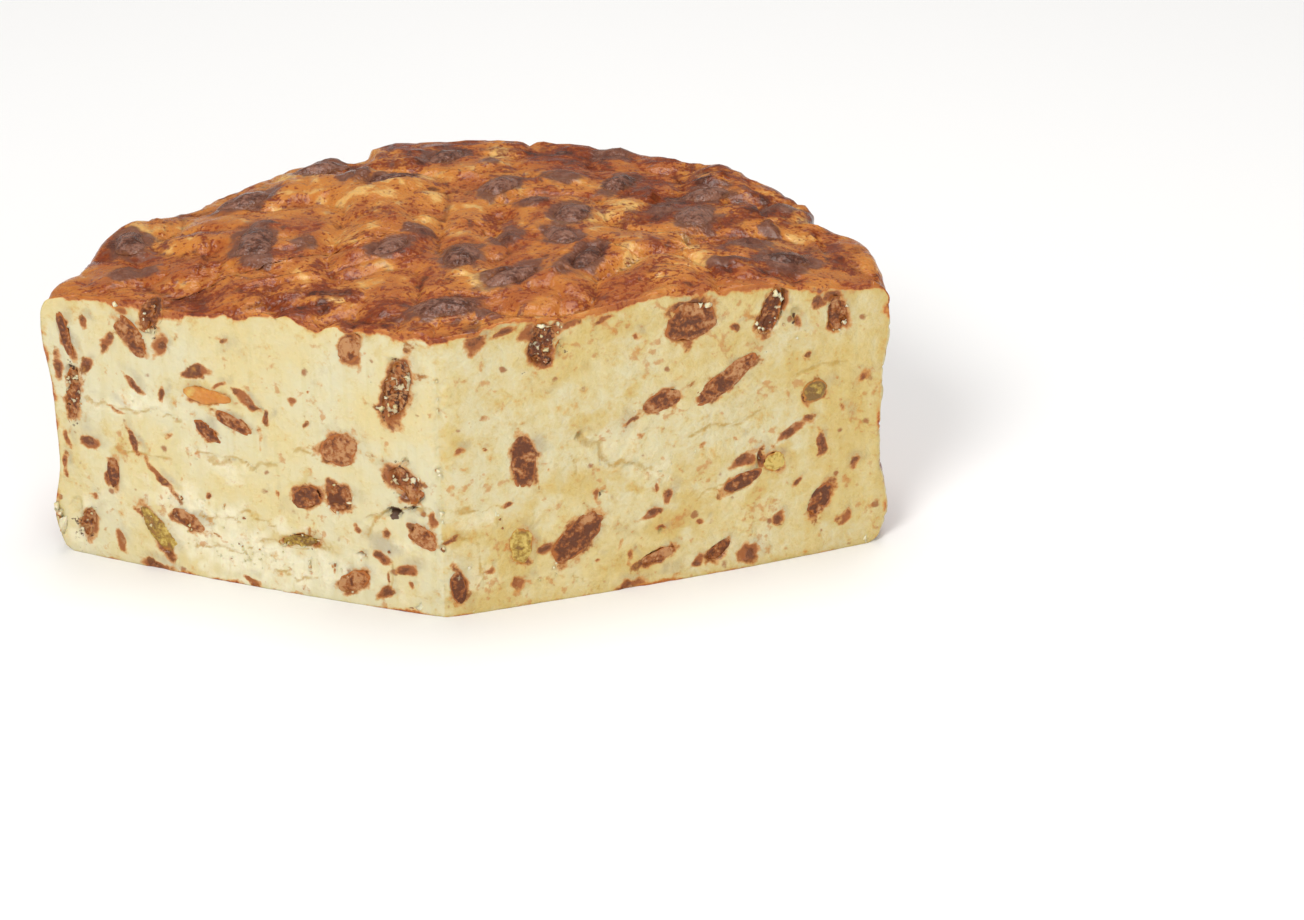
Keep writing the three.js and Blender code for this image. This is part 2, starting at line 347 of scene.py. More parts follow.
RIGHT_PALE = [
    (44, 36, 16, 9, 160, 0.45),
    (10, 23, 16, 5, 10, 0.6),
    (50, 28, 8, 4, 160, 0.7),
    (8, 8, 6, 10, 170, 0.5),
    (61, 65, 3.4, 4, 0, 1),
    (25, 6, 20, 6, 0, 0.35),
    (78, 61, 3, 5, 0, 0.7),
    (62, 31, 12, 3, 25, 0.5),
    (86, 57, 6, 5, 20, 0.5),
]

LEFT_GREY = [
    (13.4, 16.6, 8, 5, 20, 0.9),
    (8, 26, 10, 5, 0, 0.5),
    (12.6, 36, 6, 5, 30, 0.6),
    (49, 60.6, 5, 4, 0, 0.6),
    (27, 57, 6, 4, 0, 0.25),
    (86, 33, 5, 6, 0, 0.7),
    (22, 8.6, 4, 3, 0, 0.6),
    (37, 22.6, 5, 5, 0, 0.5),
    (57, 40.6, 6, 3, 30, 0.4),
    (84, 44, 5, 4, 0, 0.4),
]

RIGHT_GREY = [
    (20.4, 38.6, 5, 8, 0, 0.95),
    (27, 53.4, 9, 4, 0, 0.4),
    (33, 57, 8, 4, 20, 0.3),
    (43, 42.6, 7, 4, 20, 0.5),
    (46.6, 53.6, 4, 3, 0, 0.35),
    (36.6, 18.6, 6, 6, 30, 0.55),
    (52, 22.6, 4, 5, 150, 0.4),
    (42, 14, 8, 8, 0, 0.35),
    (52, 4.4, 8, 3, 20, 0.6),
    (28, 9.4, 6, 3, 170, 0.5),
    (76, 57.4, 8, 5, 0, 0.4),
    (70, 40, 18, 5, 30, 0.3),
]

# Holes torn out of the curd: distance, height, length, width, tilt, depth.
LEFT_HOLES = [
    (11.6, 25.2, 3, 2, 160, 2.6),
    (8, 26.8, 3, 1, 165, 1.6),
    (8.2, 37.8, 1.8, 1.4, 0, 1.8),
    (7, 31, 5.6, 5, 70, 1.2),
    (12.4, 49.6, 4.6, 3.4, 100, 0.9),
    (9.2, 62.4, 4, 3, 0, 1.4),
    (20, 12, 1.8, 1.2, 0, 1.4),
    (42.6, 45, 2.4, 2, 0, 1),
    (91.6, 13, 3, 4, 20, 0.8),
    (90, 47.6, 3, 4, 0, 1.2),
    (69.4, 61, 4, 3, 20, 1.2),
]

RIGHT_HOLES = [
    (28.6, 63, 3, 3.4, 0, 0.9),
    (25.4, 60.8, 2, 2, 0, 1.4),
    (32.4, 41, 1.8, 1.2, 0, 1.2),
    (79.4, 64.6, 1.6, 9, 176, 2),
    (51.4, 13.2, 1.6, 1.2, 0, 1.2),
    (37, 25.4, 1.4, 1.2, 0, 1),
    (83.6, 62, 2.6, 4, 10, 1.2),
    (75.4, 27, 1.2, 5, 0, 1.2),
]

# Cracks where the pressed curds part: points, then half width and depth.
LEFT_CRACKS = [
    ([(40, 31.8), (45.4, 30.6), (49.6, 31.4), (54, 30.8), (59, 31.6)], 0.5, 0.7),
    ([(50, 15.4), (54, 16.4), (60, 15.2)], 0.4, 0.6),
    ([(63, 39.4), (70, 40.6), (78, 39.8), (87, 40.8)], 0.45, 0.5),
    ([(28, 12), (34.4, 14.4), (40, 12.4), (46, 11)], 0.6, 0.6),
    ([(50, 7.4), (56, 8.6), (62, 7.4)], 0.4, 0.5),
    ([(2, 26.4), (6, 27.2), (9.6, 25.6), (14, 24.2), (18.4, 22)], 0.4, 0.9),
    ([(29.6, 36), (32, 37.2), (35, 36.4)], 0.35, 0.3),
    ([(41, 16.6), (44, 17.4), (47.4, 18.6), (50, 18.2)], 0.3, 0.3),
    ([(47, 9), (49.4, 8.4), (51, 7)], 0.3, 0.3),
    ([(12.6, 12), (12.8, 7), (14.4, 3.6), (17, 2)], 0.35, 0.3),
    ([(14, 24.8), (15.8, 22.6), (18, 18.6)], 0.25, 0.3),
    ([(66, 30), (72, 28.6), (80, 29.6)], 0.35, 0.4),
    ([(30, 4.6), (36, 3.4), (42, 4.8)], 0.3, 0.4),
]

RIGHT_CRACKS = [
    ([(32.4, 40.2), (34, 38.8), (37, 38.2), (37, 35.4), (39, 32.6), (44, 31.4), (49, 29.4)], 0.6, 0.8),
    ([(3, 27), (8, 26.6), (14, 26.2)], 0.25, 0.2),
    ([(30, 36), (31, 34), (31.4, 31)], 0.3, 0.2),
    ([(0, 20), (3, 20.8), (6, 19)], 0.4, 0.3),
    ([(8, 18), (8.4, 12), (9.4, 6)], 0.25, 0.2),
    ([(58, 36), (63, 37.6), (69, 36.6), (75, 39)], 0.35, 0.4),
    ([(30, 5), (33, 3), (36, 1)], 0.25, 0.3),
    ([(60, 20), (64, 22), (68, 22.6)], 0.3, 0.3),
    ([(84, 47), (90, 49), (96, 48)], 0.4, 0.4),
]

# Marks on the baked top, in plan: across, back, length, width, turn, strength.
TOP_DARK = [
    (-28, -8, 44, 15, 165, 0.68),
    (58, 54, 46, 50, 20, 0.72),
    (-10, 86, 26, 22, 0, 0.7),
    (22, 84, 60, 18, 0, 0.55),
    (-4, 30, 30, 20, 0, 0.3),
    (-80, 32, 14, 26, 100, 0.35),
    (-20, -15, 13, 4.6, 160, 0.85),
    (46, 62, 6, 14, 160, 0.5),
    (-14, 82, 13, 14, 0, 0.7),
    (60, 8.6, 15, 8, 12, 0.7),
    (74, 58, 9, 17, 160, 0.55),
    (86, 18, 4, 14, 5, 0.6),
    (-58, 26, 2.4, 18, 0, 0.4),
    (34, -3, 16, 5, 20, 0.5),
]

# Raisins just under the baked skin, which show through it.
TOP_BURIED = [
    (-46.5, 37, 6, 5, 0, 1),
    (-47, 17.5, 8, 5, 150, 1),
    (-75, 19, 10, 7, 20, 1),
    (-11, 31, 7, 8, 20, 1),
    (15, 47, 7, 6, 20, 1),
    (-27, 66, 7, 9, 0, 1),
    (5, -13.6, 5, 4, 0, 1),
    (46, 48, 5, 15, 165, 1),
    (35, 86, 9, 9, 0, 1),
    (64, 23, 11, 7, 20, 1),
    (9, 27, 8, 16, 160, 0.8),
    (70, 36, 4, 8, 20, 1),
    (-34, 84, 8, 7, 0, 1),
    (24, 8, 8, 16, 150, 0.8),
    (5, 76, 6, 6, 0, 0.8),
    (22, 66, 12, 8, 0, 0.8),
    (-36, 26, 10, 6, 100, 0.8),
    (7.8, 4.9, 12, 7, 25, 0.9),
    (58.9, 9.5, 10, 6, 15, 0.8),
    (72, 10.5, 10, 7, 15, 0.9),
    (74, 49, 9, 7, 160, 0.9),
]

TOP_AMBER = [
    (-40, 62, 22, 26, 30, 0.6),
    (-17, 71, 12, 12, 0, 0.7),
    (-8, 56, 30, 20, 0, 0.6),
    (10, 68, 12, 10, 0, 0.6),
    (7, 85, 4, 14, 0, 0.8),
    (-24, 88, 5, 16, 0, 0.8),
    (-68, 46, 14, 18, 30, 0.6),
    (-54, 48, 14, 10, 30, 0.5),
    (-28, 46, 16, 10, 0, 0.5),
    (38, 36, 16, 28, 30, 0.55),
    (40, 17, 34, 14, 12, 0.5),
    (-26, 28, 10, 10, 0, 0.55),
    (-20, 14, 24, 10, 170, 0.35),
    (-77, 45, 6, 12, 160, 0.9),
    (70, 30, 4, 9, 165, 1),
    (78, 46, 7, 12, 160, 0.8),
    (53, 76, 5, 12, 0, 0.8),
    (57, 66, 6, 10, 20, 0.6),
    (-65, 28, 8, 12, 0, 0.45),
    (4, 5, 10, 10, 0, 0.35),
    (10, -14, 22, 5, 10, 0.4),
    (50, 6, 16, 8, 15, 0.5),
    (66, 30, 18, 10, 20, 0.35),
    (92, 10, 6, 14, 10, 0.6),
    (-30, 15, 8, 6, 45, 0.5),
    (-48, 72, 12, 8, 40, 0.5),
]

# Overlapping folds of the skin: points in plan, half width and drop on their left side.
TOP_FOLDS = [
    ([(44, 56), (47, 44), (50, 36), (50.5, 26), (51, 20)], 2.4, 1.6),
    ([(-28, 6), (-33, 1), (-40, -2), (-46, -3)], 1.8, 1.2),
    ([(-26, 68), (-22, 76), (-25, 82), (-25.6, 94)], 2.4, 1.6),
    ([(28, 18), (25, 10), (22, 3)], 1.8, 1.2),
    ([(-59, 34), (-58, 26), (-60, 16)], 1.8, 0.9),
    ([(-64, 60), (-54, 52), (-44, 50)], 2, 1),
    ([(-12, 40), (-2, 38), (4, 32), (8, 22)], 1.8, 0.9),
    ([(26, 24), (32, 16), (42, 10), (54, 14)], 2, 1),
    ([(62, 68), (60, 54), (66, 46), (70, 36)], 2, 1.4),
    ([(84, 44), (80, 34), (82, 22)], 2, 1.4),
    ([(-38, 40), (-30, 36), (-24, 34), (-16, 38)], 1.8, 0.8),
    ([(-36, 74), (-24, 70), (-10, 74), (4, 70), (18, 72)], 2, 1.1),
    ([(12, 96), (15, 86), (13, 78)], 1.6, 1.2),
    ([(-74, 50), (-70, 38), (-74, 26)], 1.8, 1),
    ([(-52, 12), (-44, 8), (-34, 10), (-26, 8)], 1.6, 0.8),
]

# Larger scraps of curd that stand out of the cuts: distance, height and radius.
SCRAPS = {
    "left": [
        (96.4, 9.8, 1.7),
        (96.9, 11.6, 1.2),
        (95.6, 7.4, 1.4),
        (77, 66, 0.5),
        (66, 1, 1.2),
        (51, 0.8, 1.0),
    ],
    "right": [(62.5, 68.2, 0.8), (60.6, 68, 0.6), (78.4, 68.2, 0.6), (24, 69, 0.6), (33, 1, 0.8)],
}

# Crumbs along the foot of each cut and up its corner, square millimetres of torn fruit or pale curd to each
# crumb, and how far above the floor a crumb's lowest point is at least.
FOOT_CRUMBS = 26
CORNER_CRUMBS = 5
CRUMB_AREAS = {"torn": 15, "pale": 7}
CRUMB_FLOOR = 0.05
SCRAP_RADIUS = 0.9  # from this radius on a crumb stands out of the face; smaller ones are sunk in it

# Fruit torn open by the knife: how far its cut lies below the face.
TORN = {
    "raisin_left_01": 1.1,
    "raisin_left_06": 0.9,
    "raisin_left_04": 0.4,
    "raisin_left_14": 0.7,
    "raisin_left_16": 0.8,
    "raisin_left_20": 0.8,
    "raisin_right_01": 1.1,
    "raisin_right_03": 0.8,
    "raisin_right_04": 0.6,
    "golden_sultana_left_09": 0.7,
}

# The sultanas: how dark the flesh of each is, from -0.5 to 0.5, and how orange, from 0 to 1.
SULTANAS = {
    "golden_sultana_left_09": (0.0, 0.1),
    "golden_sultana_left_12": (-0.2, 0.9),
    "golden_sultana_left_19": (0.25, 0.45),
    "golden_sultana_right_07": (0.4, 0.0),
    "golden_sultana_right_10": (-0.2, 0.2),
    "golden_sultana_right_14": (-0.5, 0.0),
}


def linear(hex_colour):
    """The linear RGBA of an sRGB hex colour: divided by 12.92 below 0.04045, and a power of 2.4 above."""
    channels = np.array([int(hex_colour[i : i + 2], 16) / 255 for i in (1, 3, 5)])
    bent = np.where(channels <= 0.04045, channels / 12.92, ((channels + 0.055) / 1.055) ** 2.4)
    return (*bent.tolist(), 1.0)


def add(tree, kind, settings=None, inputs=None):
    """Adds one node, sets its properties, and fills its inputs: a socket is linked, and a value is set."""
    made = tree.nodes.new(kind)
    for name, value in (settings or {}).items():
        setattr(made, name, value)
    for name, value in (inputs or {}).items():
        if isinstance(value, bpy.types.NodeSocket):
            tree.links.new(value, made.inputs[name])
        else:
            made.inputs[name].default_value = value
    return made


def heading(angle):
    """The unit vector in plan at an angle in degrees from +X."""
    return np.array((np.cos(np.radians(angle)), np.sin(np.radians(angle))))


RIGHT_ALONG = heading(RIGHT_CUT_ANGLE)
LEFT_ALONG = heading(LEFT_CUT_ANGLE)
RIGHT_OUT = np.array((RIGHT_ALONG[1], -RIGHT_ALONG[0], 0.0))
LEFT_OUT = np.array((-LEFT_ALONG[1], LEFT_ALONG[0], 0.0))
CORNER_OUT = (RIGHT_OUT + LEFT_OUT) / np.linalg.norm(RIGHT_OUT + LEFT_OUT)


def smooth(rows, at):
    """Cubic curve through (key, value) rows, with the slope of the line through its neighbours at each."""
    keys, values = np.array(rows, float).T
    slopes = np.gradient(values, keys)
    i = np.clip(np.searchsorted(keys, at, side="right") - 1, 0, len(keys) - 2)
    span = keys[i + 1] - keys[i]
    t = np.clip((at - keys[i]) / span, 0, 1)
    start = values[i] * (1 + 2 * t) * (1 - t) ** 2 + slopes[i] * span * t * (1 - t) ** 2
    end = values[i + 1] * t**2 * (3 - 2 * t) - slopes[i + 1] * span * t**2 * (1 - t)
    return start + end


def step(low, high, value):
    """0 below low, 1 above high, and a smooth S between them; low may be the larger."""
    t = np.clip((value - low) / (high - low), 0, 1)
    return t * t * (3 - 2 * t)


def lattice(corners, seed):
    """A repeatable number from 0 to 1 for each whole-numbered place: its coordinates times large odd
    numbers, added up and mixed by shifts.
    """
    x, y, z = np.moveaxis(corners.astype(np.int64), -1, 0)
    mixed = (x * 374761393 + y * 668265263 + z * 1440662683 + seed * 974634777) & 0x7FFFFFFF
    mixed = ((mixed ^ (mixed >> 13)) * 1274126177) & 0x7FFFFFFF
    mixed = ((mixed ^ (mixed >> 15)) * 1103515245) & 0x7FFFFFFF
    return ((mixed ^ (mixed >> 16)) & 0xFFFFF) / 0xFFFFF


def noise(points, size, seed):
    """Smooth random field from -1 to 1: random values at the corners of cubes of that size, blended."""
    scaled = points / size
    base = np.floor(scaled)
    part = scaled - base
    part = part**3 * (part * (part * 6 - 15) + 10)
    total = np.zeros(points.shape[:-1])
    for corner in np.ndindex(2, 2, 2):
        corner = np.array(corner)
        weight = np.prod(np.where(corner == 1, part, 1 - part), axis=-1)
        total += weight * lattice(base + corner, seed)
    return 2 * total - 1


def fractal(points, size, octaves, seed):
    """Noise plus finer noise at half the size and half the strength, octave by octave, from -1 to 1."""
    layers = [noise(points, size / 2**k, seed + k) / 2**k for k in range(octaves)]
    return sum(layers) / sum(1 / 2**k for k in range(octaves))


def cells(points, size, seed):
    """Distances to the nearest two of random points, one in each cube of that size, in parts of that size."""
    scaled = points / size
    base = np.floor(scaled)
    near = np.full((2, *points.shape[:-1]), 9.0)
    for offset in np.ndindex(3, 3, 3):
        cell = base + np.array(offset) - 1
        spot = np.stack([lattice(cell, seed + k) for k in range(3)], axis=-1)
        away = np.linalg.norm(cell + spot - scaled, axis=-1)
        near = np.sort(np.concatenate([near, away[None]]), axis=0)[:2]
    return near[0], near[1]


def flat(*parts):
    """Stacks coordinates as the last axis."""
    return np.stack(np.broadcast_arrays(*parts), axis=-1).astype(float)


def ovals(x, y, rows, rag, seed):
    """For each point and oval, the distance from its middle, which is 1 on its outline.

    Two sizes of noise drag the points about first, in proportion to rag, so that outlines are ragged.
    """
    rows = np.array(rows, float)
    here = flat(x, y, np.full_like(x, seed))
    x = x + rag * (1.5 * noise(here, 4.4, seed) + 0.8 * noise(here, 1.7, seed + 1))
    y = y + rag * (1.5 * noise(here, 4.4, seed + 2) + 0.8 * noise(here, 1.7, seed + 3))
    turn = np.radians(rows[:, 4])
    dx = x[..., None] - rows[:, 0]
    dy = y[..., None] - rows[:, 1]
    along = dx * np.cos(turn) + dy * np.sin(turn)
    across = dy * np.cos(turn) - dx * np.sin(turn)
    away = np.hypot(along / (rows[:, 2] / 2), across / (rows[:, 3] / 2))
    return away * (1 + 0.3 * rag * noise(here, 2.6, seed + 4)[..., None])


def painted(x, y, rows, rag, seed):
    """The strongest oval at each point: its strength in the middle, half on its outline, 0 twice out."""
    strength = np.array(rows, float)[:, 5]
    return np.max(np.clip(1 - ovals(x, y, rows, rag, seed) / 2, 0, 1) * strength, axis=-1)


def line_reach(x, y, points):
    """Distance from each point to a broken line, and the side it lies on: +1 to the left of its course."""
    best = np.full(x.shape, 1e3)
    side = np.zeros(x.shape)
    for (x0, y0), (x1, y1) in zip(points[:-1], points[1:]):
        dx, dy = x1 - x0, y1 - y0
        t = np.clip(((x - x0) * dx + (y - y0) * dy) / (dx * dx + dy * dy), 0, 1)
        away = np.hypot(x - x0 - t * dx, y - y0 - t * dy)
        nearer = away < best
        side = np.where(nearer, np.sign(dx * (y - y0) - dy * (x - x0)), side)
        best = np.where(nearer, away, best)
    return best, side


def plan_angle(point):
    """The angle in degrees from +X of points in plan."""
    return np.degrees(np.arctan2(point[..., 1], point[..., 0]))


def plan_radius(angle):
    """The radius of the slumped outline at an angle: the cubic curve through its rows."""
    return smooth(PLAN_RADII, angle)


def dome_height(x, y):
    """The crown, less a square of the distance from the axis, plus the swells, each a bell of its spread."""
    share = np.hypot(x, y) / plan_radius(plan_angle(flat(x, y)))
    height = CROWN_HEIGHT - (CROWN_HEIGHT - RIM_HEIGHT) * share**2
    for across, back, rise, spread in SWELLS:
        height = height + rise * np.exp(-((x - across) ** 2 + (y - back) ** 2) / spread**2)
    return height


def fruit_places():
    """Where each dried fruit lies, from its node's vertices: middle, three axes, length and width.

    The middle and the two axes in the surface are those of the vertices on the cut plane, or of the whole
    fruit on the top and the rim, where the third axis is the surface's outward direction.
    """
    found = {}
    for name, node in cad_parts.items():
        place = name.rsplit("_", 2)[-2]
        if place not in ("left", "right", "top", "rim"):
            continue
        spots = np.empty(len(node.data.vertices) * 3)
        node.data.vertices.foreach_get("co", spots)
        spots = np.unique(np.round(spots.reshape(-1, 3) / MM, 3), axis=0)
        middle = (spots.min(axis=0) + spots.max(axis=0)) / 2
        if place == "top":
            out = np.array((0.0, 0.0, 1.0))
        elif place == "rim":
            out = flat(*(middle[:2] / np.hypot(*middle[:2])), 0.0)
        else:
            out = LEFT_OUT if place == "left" else RIGHT_OUT
            height = (spots - flat(*CUT_CORNER, 0.0)) @ out
            spots = spots[height > -0.05]
        level = np.cross((0.0, 1.0, 0.0) if place == "top" else (0.0, 0.0, 1.0), out)
        up = np.cross(out, level)
        seen = flat(spots @ level, spots @ up)
        turned = np.linalg.svd(seen - seen.mean(axis=0))[2][0]
        along = turned[0] * level + turned[1] * up
        across = np.cross(out, along)
        reach = [spots @ along, spots @ across]
        length, width = (span.max() - span.min() for span in reach)
        centre = sum((span.max() + span.min()) / 2 * axis for span, axis in zip(reach, (along, across)))
        centre = centre + out * (spots @ out).max()
        found[name] = {
            "name": name,
            "place": place,
            "middle": centre,
            "axes": np.array((along, across, out)),
            "length": length,
            "width": width,
        }
    return found


FRUIT = fruit_places()


def fruit_rows(place, grow=1.0):
    """The fruit of one place as ovals: on a cut face by distance and height, and on the top in plan."""
    rows = []
    for spot in FRUIT.values():
        if spot["place"] != place:
            continue
        along = spot["axes"][0]
        if place == "top":
            x, y = spot["middle"][:2]
            turn = np.degrees(np.arctan2(along[1], along[0]))
        else:
            course = RIGHT_ALONG if place == "right" else LEFT_ALONG
            x = (spot["middle"][:2] - CUT_CORNER) @ course
            y = spot["middle"][2]
            turn = np.degrees(np.arctan2(along[2], along[:2] @ course))
        rows.append((x, y, spot["length"] * grow, spot["width"] * grow, turn, 1))
    return rows


def torn_rows(place):
    """The fruit of one cut face that the knife tore open, as ovals a little larger than they are."""
    names = [name for name, spot in FRUIT.items() if spot["place"] == place]
    return [row for name, row in zip(names, fruit_rows(place, 1.1)) if name in TORN]


def cut_relief(face, u, v):
    """How far a cut face stands out: waves, crumb and knife drag, less seams, cracks, holes and pockets.

    Crumb is fractal noise, rougher where the curd is dry. Seams follow the borders between cells. A crack
    is a bell across its line with a low lip on both sides. Holes and pockets are smooth steps inside ovals.
    """
    seed = face["seed"]
    here = flat(u, v, np.full_like(u, seed * 7.0))
    dry = painted(u, v, face["pale"], 1.5, seed + 76)
    crumb = fractal(here, 2.4, 3, seed) * (0.18 + 0.5 * dry)
    wave = noise(here, 26, seed + 9) * CUT_WAVE
    drag = noise(here / np.array((1, 26, 1)), 1.7, seed + 5) * CUT_DRAG
    near, second = cells(here + 1.2 * flat(crumb, -crumb, crumb), 4.4, seed + 20)
    seams = step(0.14, 0.0, second - near) * CUT_SEAM * step(0.1, 0.6, noise(here, 15, seed + 3))
    depth = wave + crumb + drag - seams
    for points, half_width, drop in face["cracks"]:
        away = line_reach(u + 0.7 * crumb, v + 3.4 * crumb, points)[0]
        depth = depth - 0.7 * drop * np.exp(-((away / half_width) ** 2))
        depth = depth + 0.2 * drop * np.exp(-(((away - 2.2 * half_width) / half_width) ** 2))
    drops = np.array(face["holes"])[:, 5]
    torn = ovals(u, v, face["holes"], 0.5, seed + 31)
    depth = depth - np.max(step(1.25, 0.65, torn) * drops, axis=-1)
    nearest = ovals(u, v, fruit_rows(face["place"]), 0.2, seed + 40).min(axis=-1)
    return depth * step(0.5, 1.2, nearest) - CUT_POCKET * step(0.94, 0.62, nearest)


def skin_relief(x, y):
    """Height that the baked skin's lobes, wrinkles and folds add to the dome, and its painted crease shade.

    The lobes are the square root of noise without its sign: round pillows that meet in winding creases. A
    fold is a step down to the left of its line that fades away from it, and noise makes it uneven. Painted
    shade darkens the creases where the pillows meet and the low side of each fold, fading away from it.
    """
    here = flat(x, y, np.full_like(x, 3.3))
    bend = flat(noise(here, 16, 61), noise(here, 16, 62), np.zeros_like(x))
    pillow = np.abs(noise(here + 5 * bend, 21, 63))
    small = np.abs(noise(here + 3 * bend, 9, 65))
    wrinkle = np.abs(fractal((here + 2.5 * bend) / np.array((1.5, 0.8, 1)), 5.4, 3, 71))
    lobes = SKIN_LOBES * np.sqrt(pillow + 0.01) + SKIN_PUCKERS * np.sqrt(small + 0.01)
    height = lobes + SKIN_WRINKLES * wrinkle - SKIN_LEVEL
    # Painted shade: the creases between the pillows are painted darker.
    crack_and_crease_shade = 0.8 * step(0.1, 0.0, pillow) + 0.5 * step(0.07, 0.0, small)
    for points, half_width, drop in TOP_FOLDS:
        away, side = line_reach(x + 3 * bend[..., 0], y + 3 * bend[..., 1], points)
        uneven = np.clip(0.7 + 0.9 * noise(here, 11, 66), 0, 1.3)
        height = height + drop * uneven * np.exp(-away / (2.2 * half_width)) * np.where(side > 0, -0.5, 0.5)
        # Painted shade on the low side of the fold, fading out behind it, and a narrow band on the high side.
        shade = np.where(side > 0, np.exp(-away / (0.8 * half_width)), np.exp(-((away / 0.5) ** 2)))
        crack_and_crease_shade = np.maximum(crack_and_crease_shade, 1.1 * uneven * shade)
    return height, np.clip(crack_and_crease_shade, 0, 1.4)


def rim_relief(angle, height):
    """How far the pressed rim stands out, and its seams: broad dents, slanting drapes of the pressing cloth,
    seams along the borders between cells, and fine pores, all noise of those sizes.
    """
    arc = np.radians(angle) * WHEEL_RADIUS
    here = flat(arc, height, np.full_like(arc, 5.1))
    slant = flat(arc + 0.9 * height, (height - 0.9 * arc) / 5, np.full_like(arc, 1.7))
    near, second = cells(here + 2 * flat(noise(here, 7, 81), noise(here, 7, 82), np.zeros_like(arc)), 9, 84)
    seams = step(0.1, 0.0, second - near)
    relief = RIM_DENTS * noise(here, 21, 85) + RIM_DRAPES * fractal(slant, 4.2, 3, 86) - RIM_SEAM * seams
    return relief + RIM_PORES * fractal(here, 1.8, 2, 88), seams


def cut_reach(course, bulge):
    """How far a cut runs from the corner to the rim at each bulge: where its line meets the radius there.

    The radius depends on the angle of that point, so the sum is done over until it settles.
    """
    reach = np.full_like(bulge, WHEEL_RADIUS)
    along = CUT_CORNER @ course
    for _ in range(REACH_ROUNDS):
        end = CUT_CORNER + reach[:, None] * course
        radius = plan_radius(plan_angle(end)) * (1 + bulge / WHEEL_RADIUS)
        reach = -along + np.sqrt(along**2 - CUT_CORNER @ CUT_CORNER + radius**2)
    return reach


def side_grid():
    """The cut faces and the rim as one grid: columns run along the right cut, the rim and the left cut.

    Each row is the rim profile at one share of its length, carried round the outline. The cut faces run
    straight from the corner to that row's rim, and their upper rows are lifted to the domed top.
    Returns x, y, z, the distance along a cut, and which column is which side.
    """
    profile = np.array(RIM_PROFILE, float)
    walked = np.concatenate([[0], np.cumsum(np.hypot(*np.diff(profile, axis=0).T))])
    share = np.linspace(0, walked[-1], SIDE_ROWS)
    height = smooth(np.stack([walked, profile[:, 0]], axis=1), share)
    bulge = smooth(np.stack([walked, profile[:, 1]], axis=1), share)
    right_reach = cut_reach(RIGHT_ALONG, bulge)[:, None]
    left_reach = cut_reach(LEFT_ALONG, bulge)[:, None]
    right_u = right_reach * np.arange(RIGHT_COLUMNS) / RIGHT_COLUMNS
    left_u = left_reach * (1 - np.arange(LEFT_COLUMNS) / LEFT_COLUMNS)
    first = plan_angle(CUT_CORNER + right_reach * RIGHT_ALONG)[:, None]
    last = plan_angle(CUT_CORNER + left_reach * LEFT_ALONG)[:, None]
    angle = first + (last - first) * np.arange(RIM_COLUMNS) / RIM_COLUMNS
    radius = plan_radius(angle) * (1 + bulge[:, None] / WHEEL_RADIUS)
    nicked = step(38, 64, height)[:, None]
    for nick_angle, depth, half_width in RIM_NICKS:
        away = np.radians(angle - nick_angle) * WHEEL_RADIUS / half_width
        radius = radius - depth * nicked * np.exp(-np.abs(away) ** 1.4)
    right_x, right_y = (CUT_CORNER[k] + right_u * RIGHT_ALONG[k] for k in (0, 1))
    left_x, left_y = (CUT_CORNER[k] + left_u * LEFT_ALONG[k] for k in (0, 1))
    x = np.hstack([right_x, radius * np.cos(np.radians(angle)), left_x])
    y = np.hstack([right_y, radius * np.sin(np.radians(angle)), left_y])
    u = np.hstack([right_u, angle, left_u])
    side = np.repeat([0, 1, 2], [RIGHT_COLUMNS, RIM_COLUMNS, LEFT_COLUMNS])
    return x, y, np.repeat(height[:, None], x.shape[1], axis=1), u, side


def face_fields(face, u, v, under_top, to_rim):
    """What a cut face is painted by: how near its crust is, and how strong each kind of mark is.

    A mark's strength is 1 in the middle of its oval and half on its outline. The crust is 1 on the skin and
    half where it ends inside the curd, at a depth that wanders. Juice stains the curd grey on the side of
    each brown mark that the knife came from.
    """
    seed = face["seed"]
    here = flat(u, v, np.full_like(u, seed))
    depth = under_top + 1.5 * fractal(here / np.array((1, 2, 1)), 4.2, 3, seed + 60)
    thick = 0.9 + 0.8 * noise(here, 7, seed + 61)
    from_rim = to_rim + 0.8 * noise(here, 3, seed + 62)
    torn_edge = np.minimum(from_rim, 1.4 * v)
    crust = np.maximum(1 - depth / (2 * thick), 0.1 - torn_edge / 3 + 0.8 * noise(here, 4.6, seed + 63))
    bleed = 0.85 * np.exp(-under_top / 2.6) * (0.8 + noise(here, 4, seed + 74))
    bleed = np.maximum(bleed, 0.45 * np.exp(-torn_edge / 2.4))
    torn = torn_rows(face["place"]) + face["holes"]
    marks = face["brown"] + fruit_rows(face["place"], 0.98)
    ragged_v = v + 1.2 * noise(here, 2, seed)
    split = [line_reach(u, ragged_v, line)[0] / width for line, width, _ in face["cracks"]]
    juice = painted(u - 1.1 * face["drawn"], v - 1.1, marks, 0.8, seed + 79)
    return {
        "crust": crust,
        "brown": painted(u, v, marks, 0.62, seed + 70),
        "gold": np.maximum(painted(u, v, face["gold"], 1.2, seed + 72), bleed) + face["warmth"],
        "pale": painted(u, v, face["pale"], 1.5, seed + 76),
        "grey": np.maximum(painted(u, v, face["grey"], 1.2, seed + 78), 0.75 * juice),
        "torn": painted(u, v, torn, 0.8, seed + 77),
        "crack_and_crease_shade": 1 - np.min(split, axis=0) / 2,
    }


def rim_fields(points, seams):
    """Paint of the rim and base: baked rind mottled darker and lighter, and painted shade in its seams."""
    return {
        "crust": np.ones(seams.shape),
        # Painted shade: the seams are darkened.
        "crack_and_crease_shade": 0.7 * seams,
        "dark": 0.38 + 0.48 * fractal(points, 13, 3, 91),
        "amber": 0.35 + 0.7 * fractal(points / np.array((1, 1, 0.6)), 8, 3, 95),
        "rind": np.ones(seams.shape),
    }


